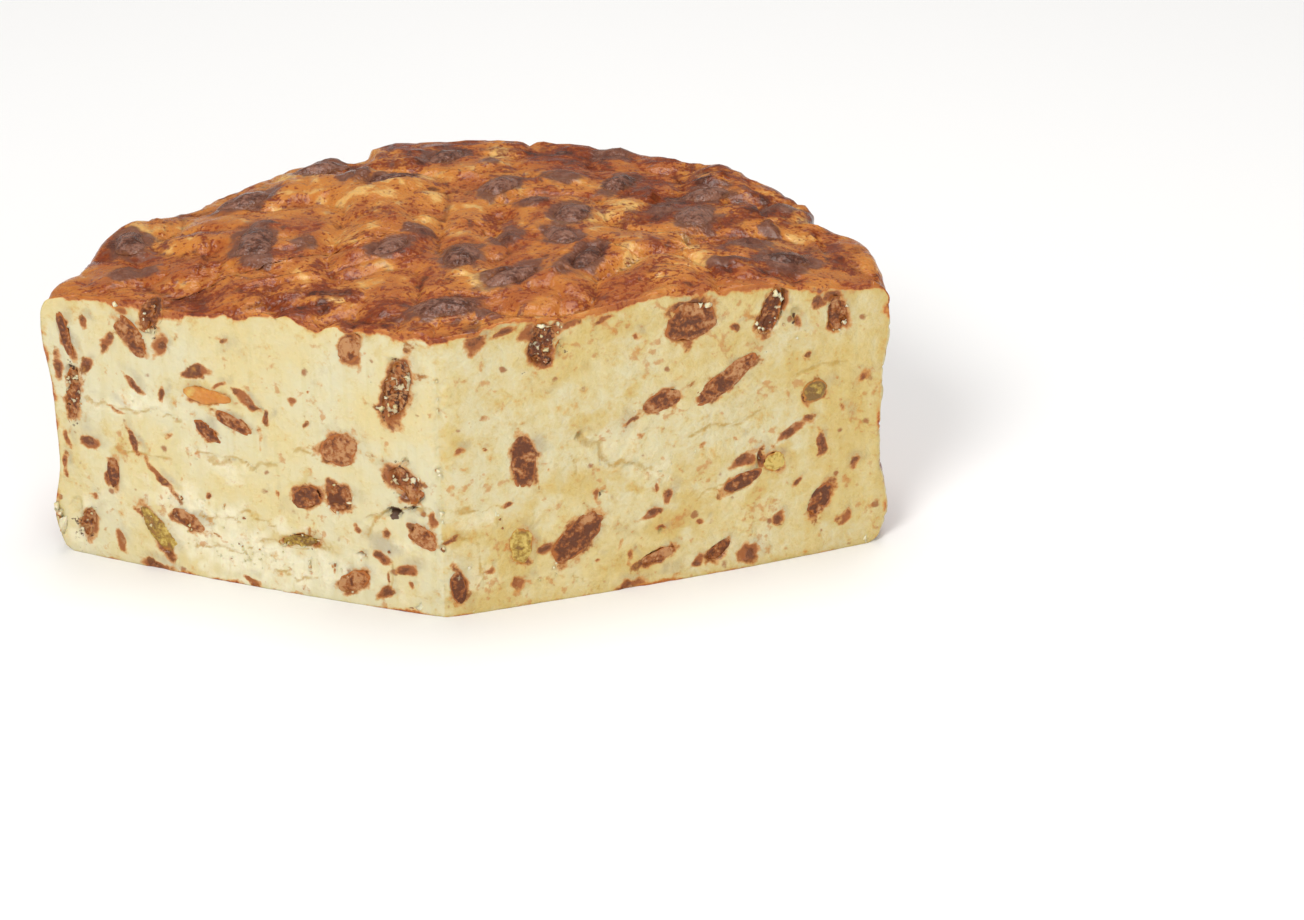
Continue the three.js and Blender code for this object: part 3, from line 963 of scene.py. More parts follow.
# The two cuts: their directions, the way the knife was drawn, how far crumbs lie, how golden they are, and
# their marks.
FACES = (
    {
        "place": "right",
        "seed": 11,
        "along": RIGHT_ALONG,
        "out": RIGHT_OUT,
        "drawn": 1.0,
        "crumbs_to": 106,
        "warmth": 0.42,
        "holes": RIGHT_HOLES,
        "cracks": RIGHT_CRACKS,
        "brown": RIGHT_BROWN,
        "gold": RIGHT_GOLD,
        "pale": RIGHT_PALE,
        "grey": RIGHT_GREY,
    },
    {
        "place": "left",
        "seed": 12,
        "along": LEFT_ALONG,
        "out": LEFT_OUT,
        "drawn": -1.0,
        "crumbs_to": 99,
        "warmth": 0.0,
        "holes": LEFT_HOLES,
        "cracks": LEFT_CRACKS,
        "brown": LEFT_BROWN,
        "gold": LEFT_GOLD,
        "pale": LEFT_PALE,
        "grey": LEFT_GREY,
    },
)

# The measures that are painted on the cheese and its crumbs, for its finish to read.
FIELD_NAMES = ("crust", "brown", "gold", "pale", "grey", "torn", "crack_and_crease_shade", "dark", "amber", "raisin", "rind")


def side_surface(settings):
    """The cut faces and the rim, each point moved out by its surface's relief, and what they are painted by.

    The rows are stretched in height from the level shoulder to the domed top. A face's relief fades towards
    its edges. A face also sags by half a sine wave along its foot, and sinks a little where it is brown. The
    corner is ragged: noise, less a rounding that fades in a few millimetres, pushes both faces the same way.
    """
    x, y, z, u, side = side_grid()
    fields = {name: np.zeros_like(x) for name in FIELD_NAMES}
    top_z = top_height(x, y, settings)
    z = z + step(8, SHOULDER_HEIGHT, z) * (top_z - SHOULDER_HEIGHT)
    under_top = np.maximum(z[-1] - z, 0)
    push = np.zeros((*x.shape, 3))
    skin = skin_fields(x, y)
    for name in ("dark", "amber", "raisin"):
        fields[name] = skin[name]
    for face, column_side in zip(FACES, (0, 2)):
        here = side == column_side
        a, b = u[:, here], z[:, here]
        to_rim = a.max(axis=1, keepdims=True) - a
        stand = cut_relief(face, a, b) * settings.crumb
        edge = step(0.0, 2.0, a) * step(0.0, 1.5, b)
        ragged = step(4.5, 0.0, a) * fractal(flat(a, b, np.full_like(a, 7.7)), 2.6, 3, 50)
        ragged = ragged - CORNER_ROUNDING * np.exp(-a / 1.4)
        sag = CUT_SAG * np.sin(np.pi * a / a.max()) * step(7, 0, b)
        painted_here = face_fields(face, a, b, under_top[:, here], to_rim)
        scraps = 0.25 * step(0.45, 0.75, painted_here["brown"])
        stand = stand * (0.35 + 0.65 * edge) * step(0, 1.2, a) + sag - scraps
        push[:, here] = stand[..., None] * face["out"] + ragged[..., None] * CORNER_OUT
        for name, values in painted_here.items():
            fields[name][:, here] = values
    rim = side == 1
    angle = np.radians(u[:, rim])
    bark, seams = rim_relief(u[:, rim], z[:, rim])
    fade = step(0, 6, z[:, rim]) * step(-0.4, 2, under_top[:, rim])
    push[:, rim] = (bark * fade)[..., None] * flat(np.cos(angle), np.sin(angle), 0 * angle)
    points = flat(x, y, z)
    painted_rim = rim_fields(points[:, rim], seams)
    shoulder = step(57, 64, z[:, rim])
    first, last = angle.min(axis=1, keepdims=True), angle.max(axis=1, keepdims=True)
    from_cut = np.minimum(angle - first, last - angle)
    painted_rim["crust"] = 0.15 + 0.85 * step(0, 3, from_cut * WHEEL_RADIUS - 1)
    for name in FIELD_NAMES:
        skin_here = skin[name][:, rim] if name in skin else 0
        fields[name][:, rim] = painted_rim.get(name, 0) * (1 - shoulder) + skin_here * shoulder
    return points + push, fields


def top_height(x, y, settings):
    """Height of the baked top: the dome and the skin's relief, calm and a little raised round each fruit.

    The skin swells over buried fruit, and a smooth step inside each fruit's oval is its pocket.
    """
    relief = skin_relief(x, y)[0]
    nearest = ovals(x, y, fruit_rows("top"), 0.15, 140).min(axis=-1)
    buried = ovals(x, y, TOP_BURIED, 0.3, 141).min(axis=-1)
    calm = step(0.8, 1.7, nearest)
    swelling = 0.35 * np.exp(-(((nearest - 0.9) / 0.6) ** 2)) + 0.7 * step(1.4, 0.5, buried)
    height = dome_height(x, y) + settings.wrinkles * relief * (0.2 + 0.8 * calm) + swelling
    return height - SKIN_POCKET * step(0.95, 0.6, nearest)


def skin_fields(x, y):
    """What the baked top is painted by: ragged dark and amber patches on noise, raisins and creases."""
    here = flat(x, y, np.full_like(x, 2.2))
    dark = 0.1 + 0.34 * fractal(here, 11, 3, 101) + 0.2 * fractal(here, 3, 2, 104)
    amber = 0.3 + 0.5 * fractal(here, 9, 3, 110) + 0.75 * painted(x, y, TOP_AMBER, 1.2, 112)
    raisin = painted(x, y, fruit_rows("top", 1.22) + TOP_BURIED, 0.7, 107)
    return {
        "crust": np.ones_like(x),
        "dark": dark + 0.95 * painted(x, y, TOP_DARK, 1.5, 106),
        "amber": amber,
        "raisin": raisin,
        "crack_and_crease_shade": skin_relief(x, y)[1] * step(0.55, 0.3, raisin),
    }


def closing_rings(edge, counts, power):
    """Rings in plan from an edge in to the fan's middle, at a power of their share of the way.

    Each group has half the columns of the one outside it.
    """
    rings = []
    for group, count in enumerate(counts):
        plan = edge[:: 2**group]
        shares = (sum(counts[:group]) + 1 + np.arange(count)) / (sum(counts) + 1)
        rings += [plan + (FAN_MIDDLE - plan) * share**power for share in shares]
    return rings


def stitch(lower, upper):
    """Triangles between two rings of point numbers, wound to face out; one may have half as many points."""
    after = [np.roll(ring, -1) for ring in (lower, upper)]
    if len(lower) == len(upper):
        return np.concatenate([flat(lower, after[0], after[1]), flat(lower, after[1], upper)])
    if len(upper) < len(lower):
        start, middle, end = lower[0::2], lower[1::2], after[0][1::2]
        rows = [(start, middle, upper), (middle, after[1], upper), (middle, end, after[1])]
    else:
        start, middle, end = upper[0::2], upper[1::2], after[1][1::2]
        rows = [(lower, middle, start), (lower, after[0], middle), (after[0], end, middle)]
    return np.concatenate([flat(*row) for row in rows])


def skin_of_rings(rings):
    """One closed skin over rings of points, from the first pole to the last: its points and triangles."""
    counts = [len(ring) for ring in rings]
    starts = np.cumsum([0, *counts])
    numbers = [np.arange(start, start + count) for start, count in zip(starts, counts)]
    triangles = []
    for lower, upper in zip(numbers[:-1], numbers[1:]):
        if len(lower) == 1:
            triangles.append(flat(np.full(len(upper), lower[0]), np.roll(upper, -1), upper))
        elif len(upper) == 1:
            triangles.append(flat(lower, np.roll(lower, -1), np.full(len(lower), upper[0])))
        else:
            triangles.append(stitch(lower, upper))
    return np.concatenate(rings), np.concatenate(triangles).astype(int)


def cheese_surface(settings):
    """The whole cheese as one closed skin of rings, and the fields that its finish is painted by.

    From the bottom up: rings from the middle of the base out to its edge, the rows of the side, and rings
    in over the top to its middle.
    """
    side_points, side_fields = side_surface(settings)
    base_plan = closing_rings(side_points[0, :, :2], BASE_RINGS, 1.4)[::-1]
    top_plan = closing_rings(side_points[-1, :, :2], TOP_RINGS, 1.1)
    base_plan.insert(0, FAN_MIDDLE[None])
    top_plan.append(FAN_MIDDLE[None])
    top_xy, base_xy = np.concatenate(top_plan), np.concatenate(base_plan)
    top_z = top_height(*top_xy.T, settings)
    base_points = flat(*base_xy.T, 0)
    base_points[:, 2] = 0.5 * np.clip(noise(base_points, 9, 120), 0, 1)
    top_fields = skin_fields(*top_xy.T)
    base_fields = rim_fields(base_points, np.zeros(len(base_points)))
    cuts = np.cumsum([len(ring) for ring in top_plan])[:-1]
    base_cuts = np.cumsum([len(ring) for ring in base_plan])[:-1]
    rings = np.split(base_points, base_cuts) + list(side_points) + np.split(flat(*top_xy.T, top_z), cuts)
    points, triangles = skin_of_rings(rings)
    fields = {}
    for name in FIELD_NAMES:
        below = base_fields.get(name, np.zeros(len(base_points)))
        above = top_fields.get(name, np.zeros(len(top_xy)))
        fields[name] = np.clip(np.concatenate([below, side_fields[name].ravel(), above]), 0, 1.5)
    return points, triangles, fields


def fruit_surface(spot, settings, seed):
    """One dried fruit as a closed skin: a front that shows and a shallow back in its pocket.

    Round it, the outline is an oval between a lozenge and a rounded box, lumpy with noise. From the middle
    to the outline the front falls by a power of the distance. Cut fruit is nearly flat with torn wrinkles,
    and fruit in the skin stands up and is wrinkled along its length. The back is half a flat ellipsoid.
    """
    cut = spot["place"] in ("left", "right")
    around = np.linspace(0, 2 * np.pi, FRUIT_AROUND, endpoint=False)
    out = np.sin(np.linspace(0, np.pi / 2, FRUIT_FRONT + 1))[1:]
    back = np.cos(np.linspace(0, np.pi / 2, FRUIT_BACK + 1))[1:-1]
    circle = flat(np.cos(around), np.sin(around), np.full_like(around, seed))
    power = 1.6 + 1.2 * lattice(np.array((seed, 8, 2)), 5)
    box = (np.abs(circle[:, 0]) ** power + np.abs(circle[:, 1]) ** power) ** (-1 / power)
    lumps = 1 + (0.24 if cut else 0.12) * noise(circle, 0.9, seed) + 0.1 * noise(circle, 0.34, seed + 1)
    half = np.array((spot["length"], spot["width"])) / 2 * settings.fruit_spread
    rim = circle[:, :2] * (box * lumps)[:, None] * half
    front = out[:, None, None] * rim
    here = np.dstack([front, np.full(front.shape[:2], seed * 3.1)])
    fall = (out**2)[:, None]
    torn = TORN.get(spot["name"], 0)
    if cut:
        wrinkle = np.abs(fractal(here, 2.6, 3, seed + 2))
        height = 0.15 - 0.3 * fall**3 - (0.5 + 1.4 * torn) * wrinkle * (1 - fall**3)
        height = height - 0.8 * torn * (1 - fall**4)
    else:
        wrinkle = np.abs(fractal(here / np.array((2.4, 1, 1)), 2.8, 2, seed + 2))
        rise = settings.fruit_rise / MM
        height = (rise + 0.5) * (1 - fall) ** 0.8 - 0.5 - 0.7 * wrinkle * (1 - fall**2)
    floor = height[-1:] - 1.6 * np.sqrt(1 - back**2)[:, None]
    pole = flat(0, 0, height[0].mean())[None]
    last = flat(0, 0, floor[-1].mean() - 0.1)[None]
    rings = [pole, *np.dstack([front, height]), *np.dstack([back[:, None, None] * rim, floor]), last]
    local, triangles = skin_of_rings(rings)
    edge = np.concatenate([[0], np.repeat(out, FRUIT_AROUND), np.ones(len(back) * FRUIT_AROUND + 1)])
    raisin_tone = 0.8 * lattice(np.array((seed, 3, 5)), 9) - 0.4
    tone, ripe = SULTANAS.get(spot["name"], (raisin_tone, 0))
    fields = {
        "edge": edge,
        "smear": 0.5 * fractal(local + seed, 3.4, 3, seed + 5),
        "torn": torn * 0.9 * np.ones(len(edge)),
        "tone": np.full(len(edge), tone),
        "ripe": np.full(len(edge), ripe),
    }
    return spot["middle"] + local @ spot["axes"], triangles[:, ::-1], fields


def crumb_surfaces():
    """Loose crumbs of curd on the two cuts, each a sphere of few faces, stretched and dented by noise.

    They lie at random on the torn fruit and the crumbly pale curd, along the foot and up the corner. The
    larger scraps have places of their own. A crumb that would go through the floor is lifted on to it.
    """
    rng = np.random.default_rng(17)
    middles, sizes = [], []
    for face in FACES:
        reach = face["crumbs_to"]
        spots = []
        for x, y, length, width, turn, _ in torn_rows(face["place"]):
            count = int(2 + length * width / CRUMB_AREAS["torn"])
            angle, out = rng.uniform(0, 2 * np.pi, count), rng.uniform(0.1, 1.2, count) ** 0.5
            along, across = out * np.cos(angle) * length / 2, out * np.sin(angle) * width / 2
            tilt = np.radians(turn)
            u = x + along * np.cos(tilt) - across * np.sin(tilt)
            v = y + along * np.sin(tilt) + across * np.cos(tilt)
            spots.append(flat(u, v, rng.uniform(0.15, 0.55, count)))
        for x, y, length, width, _, strength in face["pale"]:
            count = int(length * width * strength / CRUMB_AREAS["pale"])
            u, v = rng.normal(x, length / 3.4, count), rng.normal(y, width / 3, count)
            spots.append(flat(u, v, rng.uniform(0.15, 0.4, count)))
        foot_spans = ((2, reach), (0.3, 1.6), (0.3, 0.9))
        corner_spans = ((0, 0.6), (2, 60), (0.25, 0.5))
        foot = flat(*(rng.uniform(*span, FOOT_CRUMBS) for span in foot_spans))
        arris = flat(*(rng.uniform(*span, CORNER_CRUMBS) for span in corner_spans))
        u, v, size = np.concatenate([*spots, foot, arris, SCRAPS[face["place"]]]).T
        inside = (u > -0.5) & (u < reach - 1) & (v > size * 0.8)
        u, v, size = u[inside], v[inside], size[inside]
        plan = CUT_CORNER + u[:, None] * face["along"]
        sunk = np.where(size < SCRAP_RADIUS, 0.3, -0.3) * size
        middles.append(flat(plan[:, 0], plan[:, 1], v) - sunk[:, None] * face["out"])
        sizes.append(size)
    middles, sizes = np.concatenate(middles), np.concatenate(sizes)
    down = np.linspace(0, np.pi, 5)[1:-1]
    around = np.linspace(0, 2 * np.pi, 6, endpoint=False)
    rings = [flat(np.sin(a) * np.cos(around), np.sin(a) * np.sin(around), np.cos(a)) for a in down[::-1]]
    ball, triangles = skin_of_rings([np.array([[0, 0, -1.0]]), *rings, np.array([[0, 0, 1.0]])])
    stretch = rng.uniform(0.5, 1.5, (len(sizes), 1, 3))
    dent = 1 + 0.75 * noise(ball * 1.9 + 9 * np.arange(len(sizes))[:, None, None], 1, 33)
    points = middles[:, None] + ball * stretch * (dent * sizes[:, None])[..., None]
    points[..., 2] += np.maximum(CRUMB_FLOOR - points[..., 2].min(axis=1), 0)[:, None]
    every = triangles + len(ball) * np.arange(len(sizes))[:, None, None]
    points = points.reshape(-1, 3)
    tint = 0.8 * noise(points, 5, 34) + 0.3
    stain = 0.56 * step(-0.1, 0.4, noise(points, 2.4, 35))
    fields = {name: np.zeros(len(points)) for name in FIELD_NAMES}
    fields.update(pale=tint, gold=np.clip(-tint, 0, 1), brown=stain)
    return points, every.reshape(-1, 3), fields


def set_down(spot, settings):
    """The fruit's place on the finished surface: its middle on it, its third axis square to the slope."""
    spot = dict(spot)
    if spot["place"] == "top":
        x, y = spot["middle"][:2]
        reach = SLOPE_REACH
        sample_x = np.array((x, x + reach, x - reach, x, x))
        sample_y = np.array((y, y, y, y + reach, y - reach))
        heights = dome_height(sample_x, sample_y)
        slope = np.array((heights[2] - heights[1], heights[4] - heights[3], 2 * reach))
        out = slope / np.linalg.norm(slope)
        along = spot["axes"][0] - (spot["axes"][0] @ out) * out
        along = along / np.linalg.norm(along)
        spot["axes"] = np.array((along, np.cross(out, along), out))
        spot["middle"] = np.array((x, y, heights[0] + TOP_FRUIT_LIFT))
    elif spot["place"] == "rim":
        spot["middle"] = spot["middle"] - RIM_FRUIT_DEPTH * spot["axes"][2]
    return spot


def piece(name, points, triangles, fields, finish):
    """Makes a mesh object of a closed skin in millimetres, paints its fields, and hangs it from body:root."""
    mesh = bpy.data.meshes.new(name)
    mesh.from_pydata((points * MM).tolist(), [], triangles.tolist())
    for field, values in fields.items():
        mesh.attributes.new(field, "FLOAT", "POINT").data.foreach_set("value", values.astype(np.float32))
    mesh.polygons.foreach_set("use_smooth", np.ones(len(triangles), bool))
    mesh.materials.append(finish)
    mesh.validate()
    made = bpy.data.objects.new(name, mesh)
    bpy.context.scene.collection.objects.link(made)
    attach(made, "root")
    return made


def new_material(name):
    """An empty material and its node tree."""
    made = bpy.data.materials.new(name)
    made.use_nodes = True
    made.node_tree.nodes.clear()
    return made, made.node_tree


def measures(tree, fields, noises, flecks=()):
    """The sockets that a finish is mixed by: fields painted on the mesh, and patterns sized in millimetres.

    A noise row is its name, the size of its largest blobs, how many times taller than wide they are, its
    octaves and how far they are dragged about. Noise runs from -0.5 to 0.5. A fleck row is its name and the
    spacing of its dots. It gives the distance from the nearest dot, and under the name with _pick a random
    number from 0 to 1 for each dot.
    """
    place = add(tree, "ShaderNodeTexCoord").outputs["Object"]
    known = {}
    for name in fields:
        known[name] = add(tree, "ShaderNodeAttribute", {"attribute_name": name}).outputs["Fac"]
    for name, size, tall, octaves, drag in noises:
        wide = 1 / (size * MM)
        sized = add(tree, "ShaderNodeMapping", {}, {"Vector": place, "Scale": (wide, wide, wide / tall)})
        inputs = {"Vector": sized.outputs[0], "Scale": 1.0, "Detail": octaves, "Distortion": drag}
        pattern = add(tree, "ShaderNodeTexNoise", {}, inputs)
        centred = add(tree, "ShaderNodeMath", {"operation": "SUBTRACT"}, {0: pattern.outputs[0], 1: 0.5})
        known[name] = centred.outputs[0]
    for name, spacing in flecks:
        dots = add(tree, "ShaderNodeTexVoronoi", {}, {"Vector": place, "Scale": 1 / (spacing * MM)})
        known[name] = dots.outputs["Distance"]
        known[name + "_pick"] = dots.outputs["Color"]
    return known


def layered(tree, known, base, layers):
    """The socket of a colour with others laid over it, one after the other, as glazes of paint.

    A layer is its colour, its greatest strength, the measure where it starts and the one where it is full,
    and the weights of the sockets that add up to that measure. A colour is a hex value or another colour's
    socket. The mix node's colours are its sockets 6 and 7, and it gives the result on socket 2.
    """
    colour = linear(base) if isinstance(base, str) else base
    for tint, strength, start, full, weights in layers:
        total = 0.0
        for name, weight in weights.items():
            inputs = {0: known[name], 1: weight, 2: total}
            total = add(tree, "ShaderNodeMath", {"operation": "MULTIPLY_ADD"}, inputs).outputs[0]
        limits = {"Value": total, "From Min": start, "From Max": full, "To Max": strength}
        share = add(tree, "ShaderNodeMapRange", {"interpolation_type": "SMOOTHSTEP"}, limits).outputs[0]
        over = linear(tint) if isinstance(tint, str) else tint
        mixed = add(tree, "ShaderNodeMix", {"data_type": "RGBA"}, {0: share, 6: colour, 7: over})
        colour = mixed.outputs[2]
    return colour


def moist_surface(tree, colour, roughness, grain, ior, glow):
    """Ends a finish of moist food: grain up to 0.7 mm high as bump, and light that sinks in and glows.

    The glow is its weight, how far red, green and blue light travel, and the millimetres they travel by.
    """
    weight, radius, scale = glow
    bump = add(tree, "ShaderNodeBump", {}, {"Strength": 0.6, "Distance": 0.7 * MM, "Height": grain})
    inputs = {
        "Base Color": colour,
        "Roughness": roughness,
        "IOR": ior,
        "Specular IOR Level": 0.4,
        "Normal": bump.outputs[0],
        "Subsurface Weight": weight,
        "Subsurface Radius": radius,
        "Subsurface Scale": scale * MM,
    }
    shader = add(tree, "ShaderNodeBsdfPrincipled", {"subsurface_method": "RANDOM_WALK"}, inputs)
    add(tree, "ShaderNodeOutputMaterial", {}, {"Surface": shader.outputs[0]})


# Pressed fresh curd, cut with a knife: pale ivory, yellower in broad clouds, juice-stained round the fruit.
# The pale crumb is drier and whiter. Gold is butterfat and baked edges. Grey-violet is juice under the curd.
CURD_LAYERS = [
    ("#D6C48C", 0.9, -0.14, 0.16, {"broad": 1.0, "middle": 0.3}),
    ("#E6DFC2", 0.85, 0.1, 0.7, {"pale": 1.0, "middle": 0.8, "fine": 0.3}),
    ("#C9AE66", 0.9, 0.1, 0.95, {"gold": 1.0, "middle": 0.9, "fine": 0.5}),
    ("#BA7F36", 0.7, 0.85, 1.4, {"gold": 1.0, "middle": 0.9, "fine": 0.8}),
    ("#CDBF8A", 0.35, 0.0, 0.2, {"drag": 1.0}),
    ("#9F937F", 0.6, 0.12, 0.8, {"grey": 1.0, "middle": 0.7}),
    ("#B08A34", 0.65, 0.15, 1.0, {"crack_and_crease_shade": 1.0, "middle": 1.4, "fine": 0.8}),
    ("#BC8044", 0.65, 0.17, 0.3, {"mottle": 0.9, "patch": 0.9, "gold": 0.08}),
    ("#96582C", 0.85, -0.02, 0.08, {"fleck": -1.0, "fleck_pick": 0.2, "mottle": 0.3}),
    ("#C48640", 0.8, 0.36, 0.5, {"brown": 1.0, "middle": 0.7, "fine": 0.2}),
    ("#985527", 0.92, 0.46, 0.58, {"brown": 1.0, "middle": 0.7, "fine": 0.2}),
    ("#65371D", 0.85, 0.6, 0.9, {"brown": 1.0, "middle": 2.4, "fine": 0.5}),
    ("#C49A6C", 0.6, 0.95, 1.3, {"brown": 1.0, "middle": -2.6, "mottle": 1.4}),
    ("#D8CBA2", 0.8, 0.76, 0.9, {"torn": 0.6, "middle": 2.2, "fine": 0.5}),
    ("#4E2814", 0.95, 0.62, 0.8, {"torn": 0.6, "middle": -1.7, "fine": -1.2}),
]

# Baked skin of butterfat and milk sugar: caramel, amber where it stretched thin over a lobe, rust where it
# lay thick, freckled all over by frying in its own fat. Its creases and the rim's seams get painted shade,
# and the raisins in it a painted sheen. The last layer is the cream drawn out on the rind.
SKIN_LAYERS = [
    ("#C47E36", 0.9, 0.1, 0.7, {"amber": 1.0, "patch": 1.6, "middle": 0.8}),
    ("#DDB068", 0.85, 0.7, 1.1, {"amber": 1.0, "patch": 2.0, "middle": 1.8}),
    ("#85360F", 0.9, 0.03, 0.13, {"mottle": 0.7, "fine": 0.9, "patch": -0.6, "dark": 0.2, "amber": -0.1}),
    ("#78320F", 0.85, 0.3, 0.7, {"dark": 1.0, "patch": -1.6, "middle": 1.4, "fine": 0.4}),
    ("#401B0B", 0.9, 0.65, 1.0, {"dark": 1.0, "patch": -1.2, "middle": 1.4, "fine": 0.4}),
    # Painted shade in the creases of the skin and the seams of the rim.
    ("#58220A", 0.65, 0.4, 1.0, {"crack_and_crease_shade": 1.0, "middle": 1.4}),
    ("#6C4231", 0.92, 0.36, 0.56, {"raisin": 1.0, "middle": 0.4}),
    # Painted sheen: lighter brown patches over the raisins in the skin.
    ("#8E6350", 0.6, 0.1, 0.3, {"raisin": 0.14, "middle": 0.9, "mottle": 0.4}),
    ("#462014", 0.75, 0.12, 0.28, {"raisin": 0.12, "patch": -0.6, "middle": -0.9}),
    ("#A4622F", 0.6, 0.2, 0.42, {"raisin": 0.1, "patch": 0.9, "middle": -1.2, "fine": 0.6}),
    ("#D9B980", 0.6, 1.05, 1.3, {"rind": 1.0, "patch": 1.6, "mottle": 1.2}),
]


def cheese_finish():
    """Baked curd cheese: moist matt curd that light sinks into, under a baked skin with a greasy gloss."""
    made, tree = new_material(CURD_FINISH)
    noises = [
        ("fine", 0.9, 1, 3, 0.0),
        ("mottle", 1.7, 1, 4, 0.2),
        ("middle", 3.4, 1, 4, 0.3),
        ("patch", 8.0, 1, 4, 0.5),
        ("broad", 26.0, 1, 3, 0.0),
        ("drag", 1.6, 14, 2, 0.0),
    ]
    known = measures(tree, FIELD_NAMES, noises, [("fleck", 6.5)])
    curd = layered(tree, known, "#D4CCA9", CURD_LAYERS)
    skin = layered(tree, known, "#A65B27", SKIN_LAYERS)
    crust = {"crust": 1.0, "fine": 0.5, "middle": 1.0}
    bands = [
        ("#C98A3C", 0.7, 0.1, 0.4, crust),
        ("#B4602A", 0.9, 0.34, 0.5, crust),
        (skin, 1.0, 0.46, 0.62, crust),
    ]
    colour = layered(tree, known, curd, bands)
    gloss = [
        ("#949494", 1.0, 0.46, 0.62, crust),
        ("#727272", 1.0, -0.1, 0.1, {"middle": 0.6, "crust": 0.02}),
    ]
    roughness = layered(tree, known, "#C0C0C0", gloss)
    grain = [("#FFFFFF", 1.0, -0.6, 0.6, {"fine": 0.5, "middle": 0.6, "mottle": 0.3})]
    pores = layered(tree, known, "#000000", grain)
    moist_surface(tree, colour, roughness, pores, 1.44, (0.3, (1.0, 0.65, 0.3), 1.4))
    return made


def fruit_finish(name, colours, base_roughness):
    """Dried grape: wrinkled, sticky flesh that lets a little light through, dark or light by noise and tone.

    The five colours are its flesh, dark flesh and light flesh, its edge, and the curd smeared over it. On
    raisin skin the light flesh is a painted sheen.
    """
    made, tree = new_material(name)
    noises = [("fine", 0.8, 1, 3, 0.0), ("middle", 2.6, 1, 4, 0.4)]
    known = measures(tree, ("edge", "smear", "torn", "tone", "ripe"), noises)
    flesh, dark, light, rim, curd = colours
    layers = [
        # On raisin skin this light flesh layer is a painted sheen.
        (light, 0.85, 0.0, 0.4, {"tone": -0.55, "middle": -2.2, "fine": 1.4}),
        (dark, 0.95, -0.1, 0.3, {"tone": 0.6, "middle": 2.4, "fine": -1.4}),
        ("#CC7E34", 0.85, 0.4, 0.9, {"ripe": 1.0, "middle": 1.6}),
        (rim, 0.8, 0.84, 1.0, {"edge": 1.0, "middle": 0.9}),
        (curd, 0.55, 0.4, 0.56, {"smear": 1.0, "middle": 0.7, "fine": 0.6}),
        (curd, 0.8, 0.74, 0.9, {"torn": 0.6, "middle": 2.2, "fine": 0.6}),
        ("#451D0C", 0.92, 0.66, 0.84, {"torn": 0.6, "middle": -1.7, "fine": -1.2}),
    ]
    colour = layered(tree, known, flesh, layers)
    wet = [("#5C5C5C", 0.8, -0.1, 0.15, {"middle": 1.0})]
    roughness = layered(tree, known, base_roughness, wet)
    wrinkles = layered(tree, known, "#000000", [("#FFFFFF", 1.0, -0.6, 0.6, {"fine": 0.6, "middle": 1.2})])
    moist_surface(tree, colour, roughness, wrinkles, 1.46, (0.15, (1.0, 0.4, 0.2), 1.2))
    return made


def floor_finish():
    """A plain pale studio table: matt white laminate."""
    made, tree = new_material("white_laminate")
    shader = add(tree, "ShaderNodeBsdfPrincipled", {}, {"Base Color": linear("#F7F7F7"), "Roughness": 0.8})
    add(tree, "ShaderNodeOutputMaterial", {}, {"Surface": shader.outputs[0]})
    return made


class CheeseSettings(bpy.types.PropertyGroup):
    """Sizes and colours that can be changed before the pieces are built."""

    crumb: FloatProperty(
        name="Crumb relief",
        description="How strongly the cut curd stands out and sinks in, against a plain cut",
        default=1.0,
        min=0.0,
        max=2.0,
    )
    wrinkles: FloatProperty(
        name="Skin wrinkles",
        description="How strongly the baked skin is lobed and folded",
        default=1.0,
        min=0.0,
        max=2.0,
    )
    fruit_rise: FloatProperty(
        name="Fruit rise",
        description="How far a raisin stands out of the baked skin",
        default=1.5 * MM,
        min=0.0,
        max=4 * MM,
        subtype="DISTANCE",
        unit="LENGTH",
    )
    fruit_spread: FloatProperty(
        name="Fruit spread",
        description="Size of each fruit's outline against its pocket",
        default=1.03,
        min=0.9,
        max=1.15,
    )
    floor_size: FloatProperty(
        name="Floor size",
        description="Length of each side of the floor",
        default=6.0,
        min=1.0,
        subtype="DISTANCE",
        unit="LENGTH",
    )
    light_colour: FloatVectorProperty(
        name="Light colour",
        description="Colour of the studio lamps",
        default=(1.0, 0.985, 0.96),
        size=3,
        min=0.0,
        max=1.0,
        subtype="COLOR",
    )


# Finishes of the fruit: flesh, dark flesh, light flesh, edge, smeared curd, and the grey of its roughness.
# Cut raisin flesh is tacky and satin. On raisin skin under baked fat, the light flesh colour is a painted
# sheen. Sultana flesh is light.
FRUIT_COLOURS = {
    "cut_raisin_flesh": (("#94521F", "#5E2E10", "#BC8A5A", "#B0662A", "#D8CBA2"), "#8C8C8C"),
    "raisin_skin": (("#6C4231", "#4C2818", "#8E6350", "#7A4C30", "#9A6238"), "#727272"),
    "cut_golden_sultana": (("#A98838", "#7C5A2A", "#D2B866", "#B9782F", "#E0D4AE"), "#8C8C8C"),
}
CURD_FINISH = "pressed_curd_with_baked_skin"


def fruit_material(name):
    """The finish of a fruit, made once: cut raisin flesh, raisin skin on the top and the rim, or sultana."""
    if name.startswith("golden_sultana"):
        key = "cut_golden_sultana"
    elif "_top_" in name or "_rim_" in name:
        key = "raisin_skin"
    else:
        key = "cut_raisin_flesh"
    return bpy.data.materials.get(key) or fruit_finish(key, *FRUIT_COLOURS[key])


def build_fruit(places):
    """Builds the fruit of some places, each in the stead of its own node."""
    settings = bpy.context.scene.cheese
    for seed, (name, spot) in enumerate(sorted(FRUIT.items())):
        if spot["place"] in places:
            points, triangles, fields = fruit_surface(set_down(spot, settings), settings, seed)
            made = piece(f"{name}_flesh", points, triangles, fields, fruit_material(name))
            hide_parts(name)


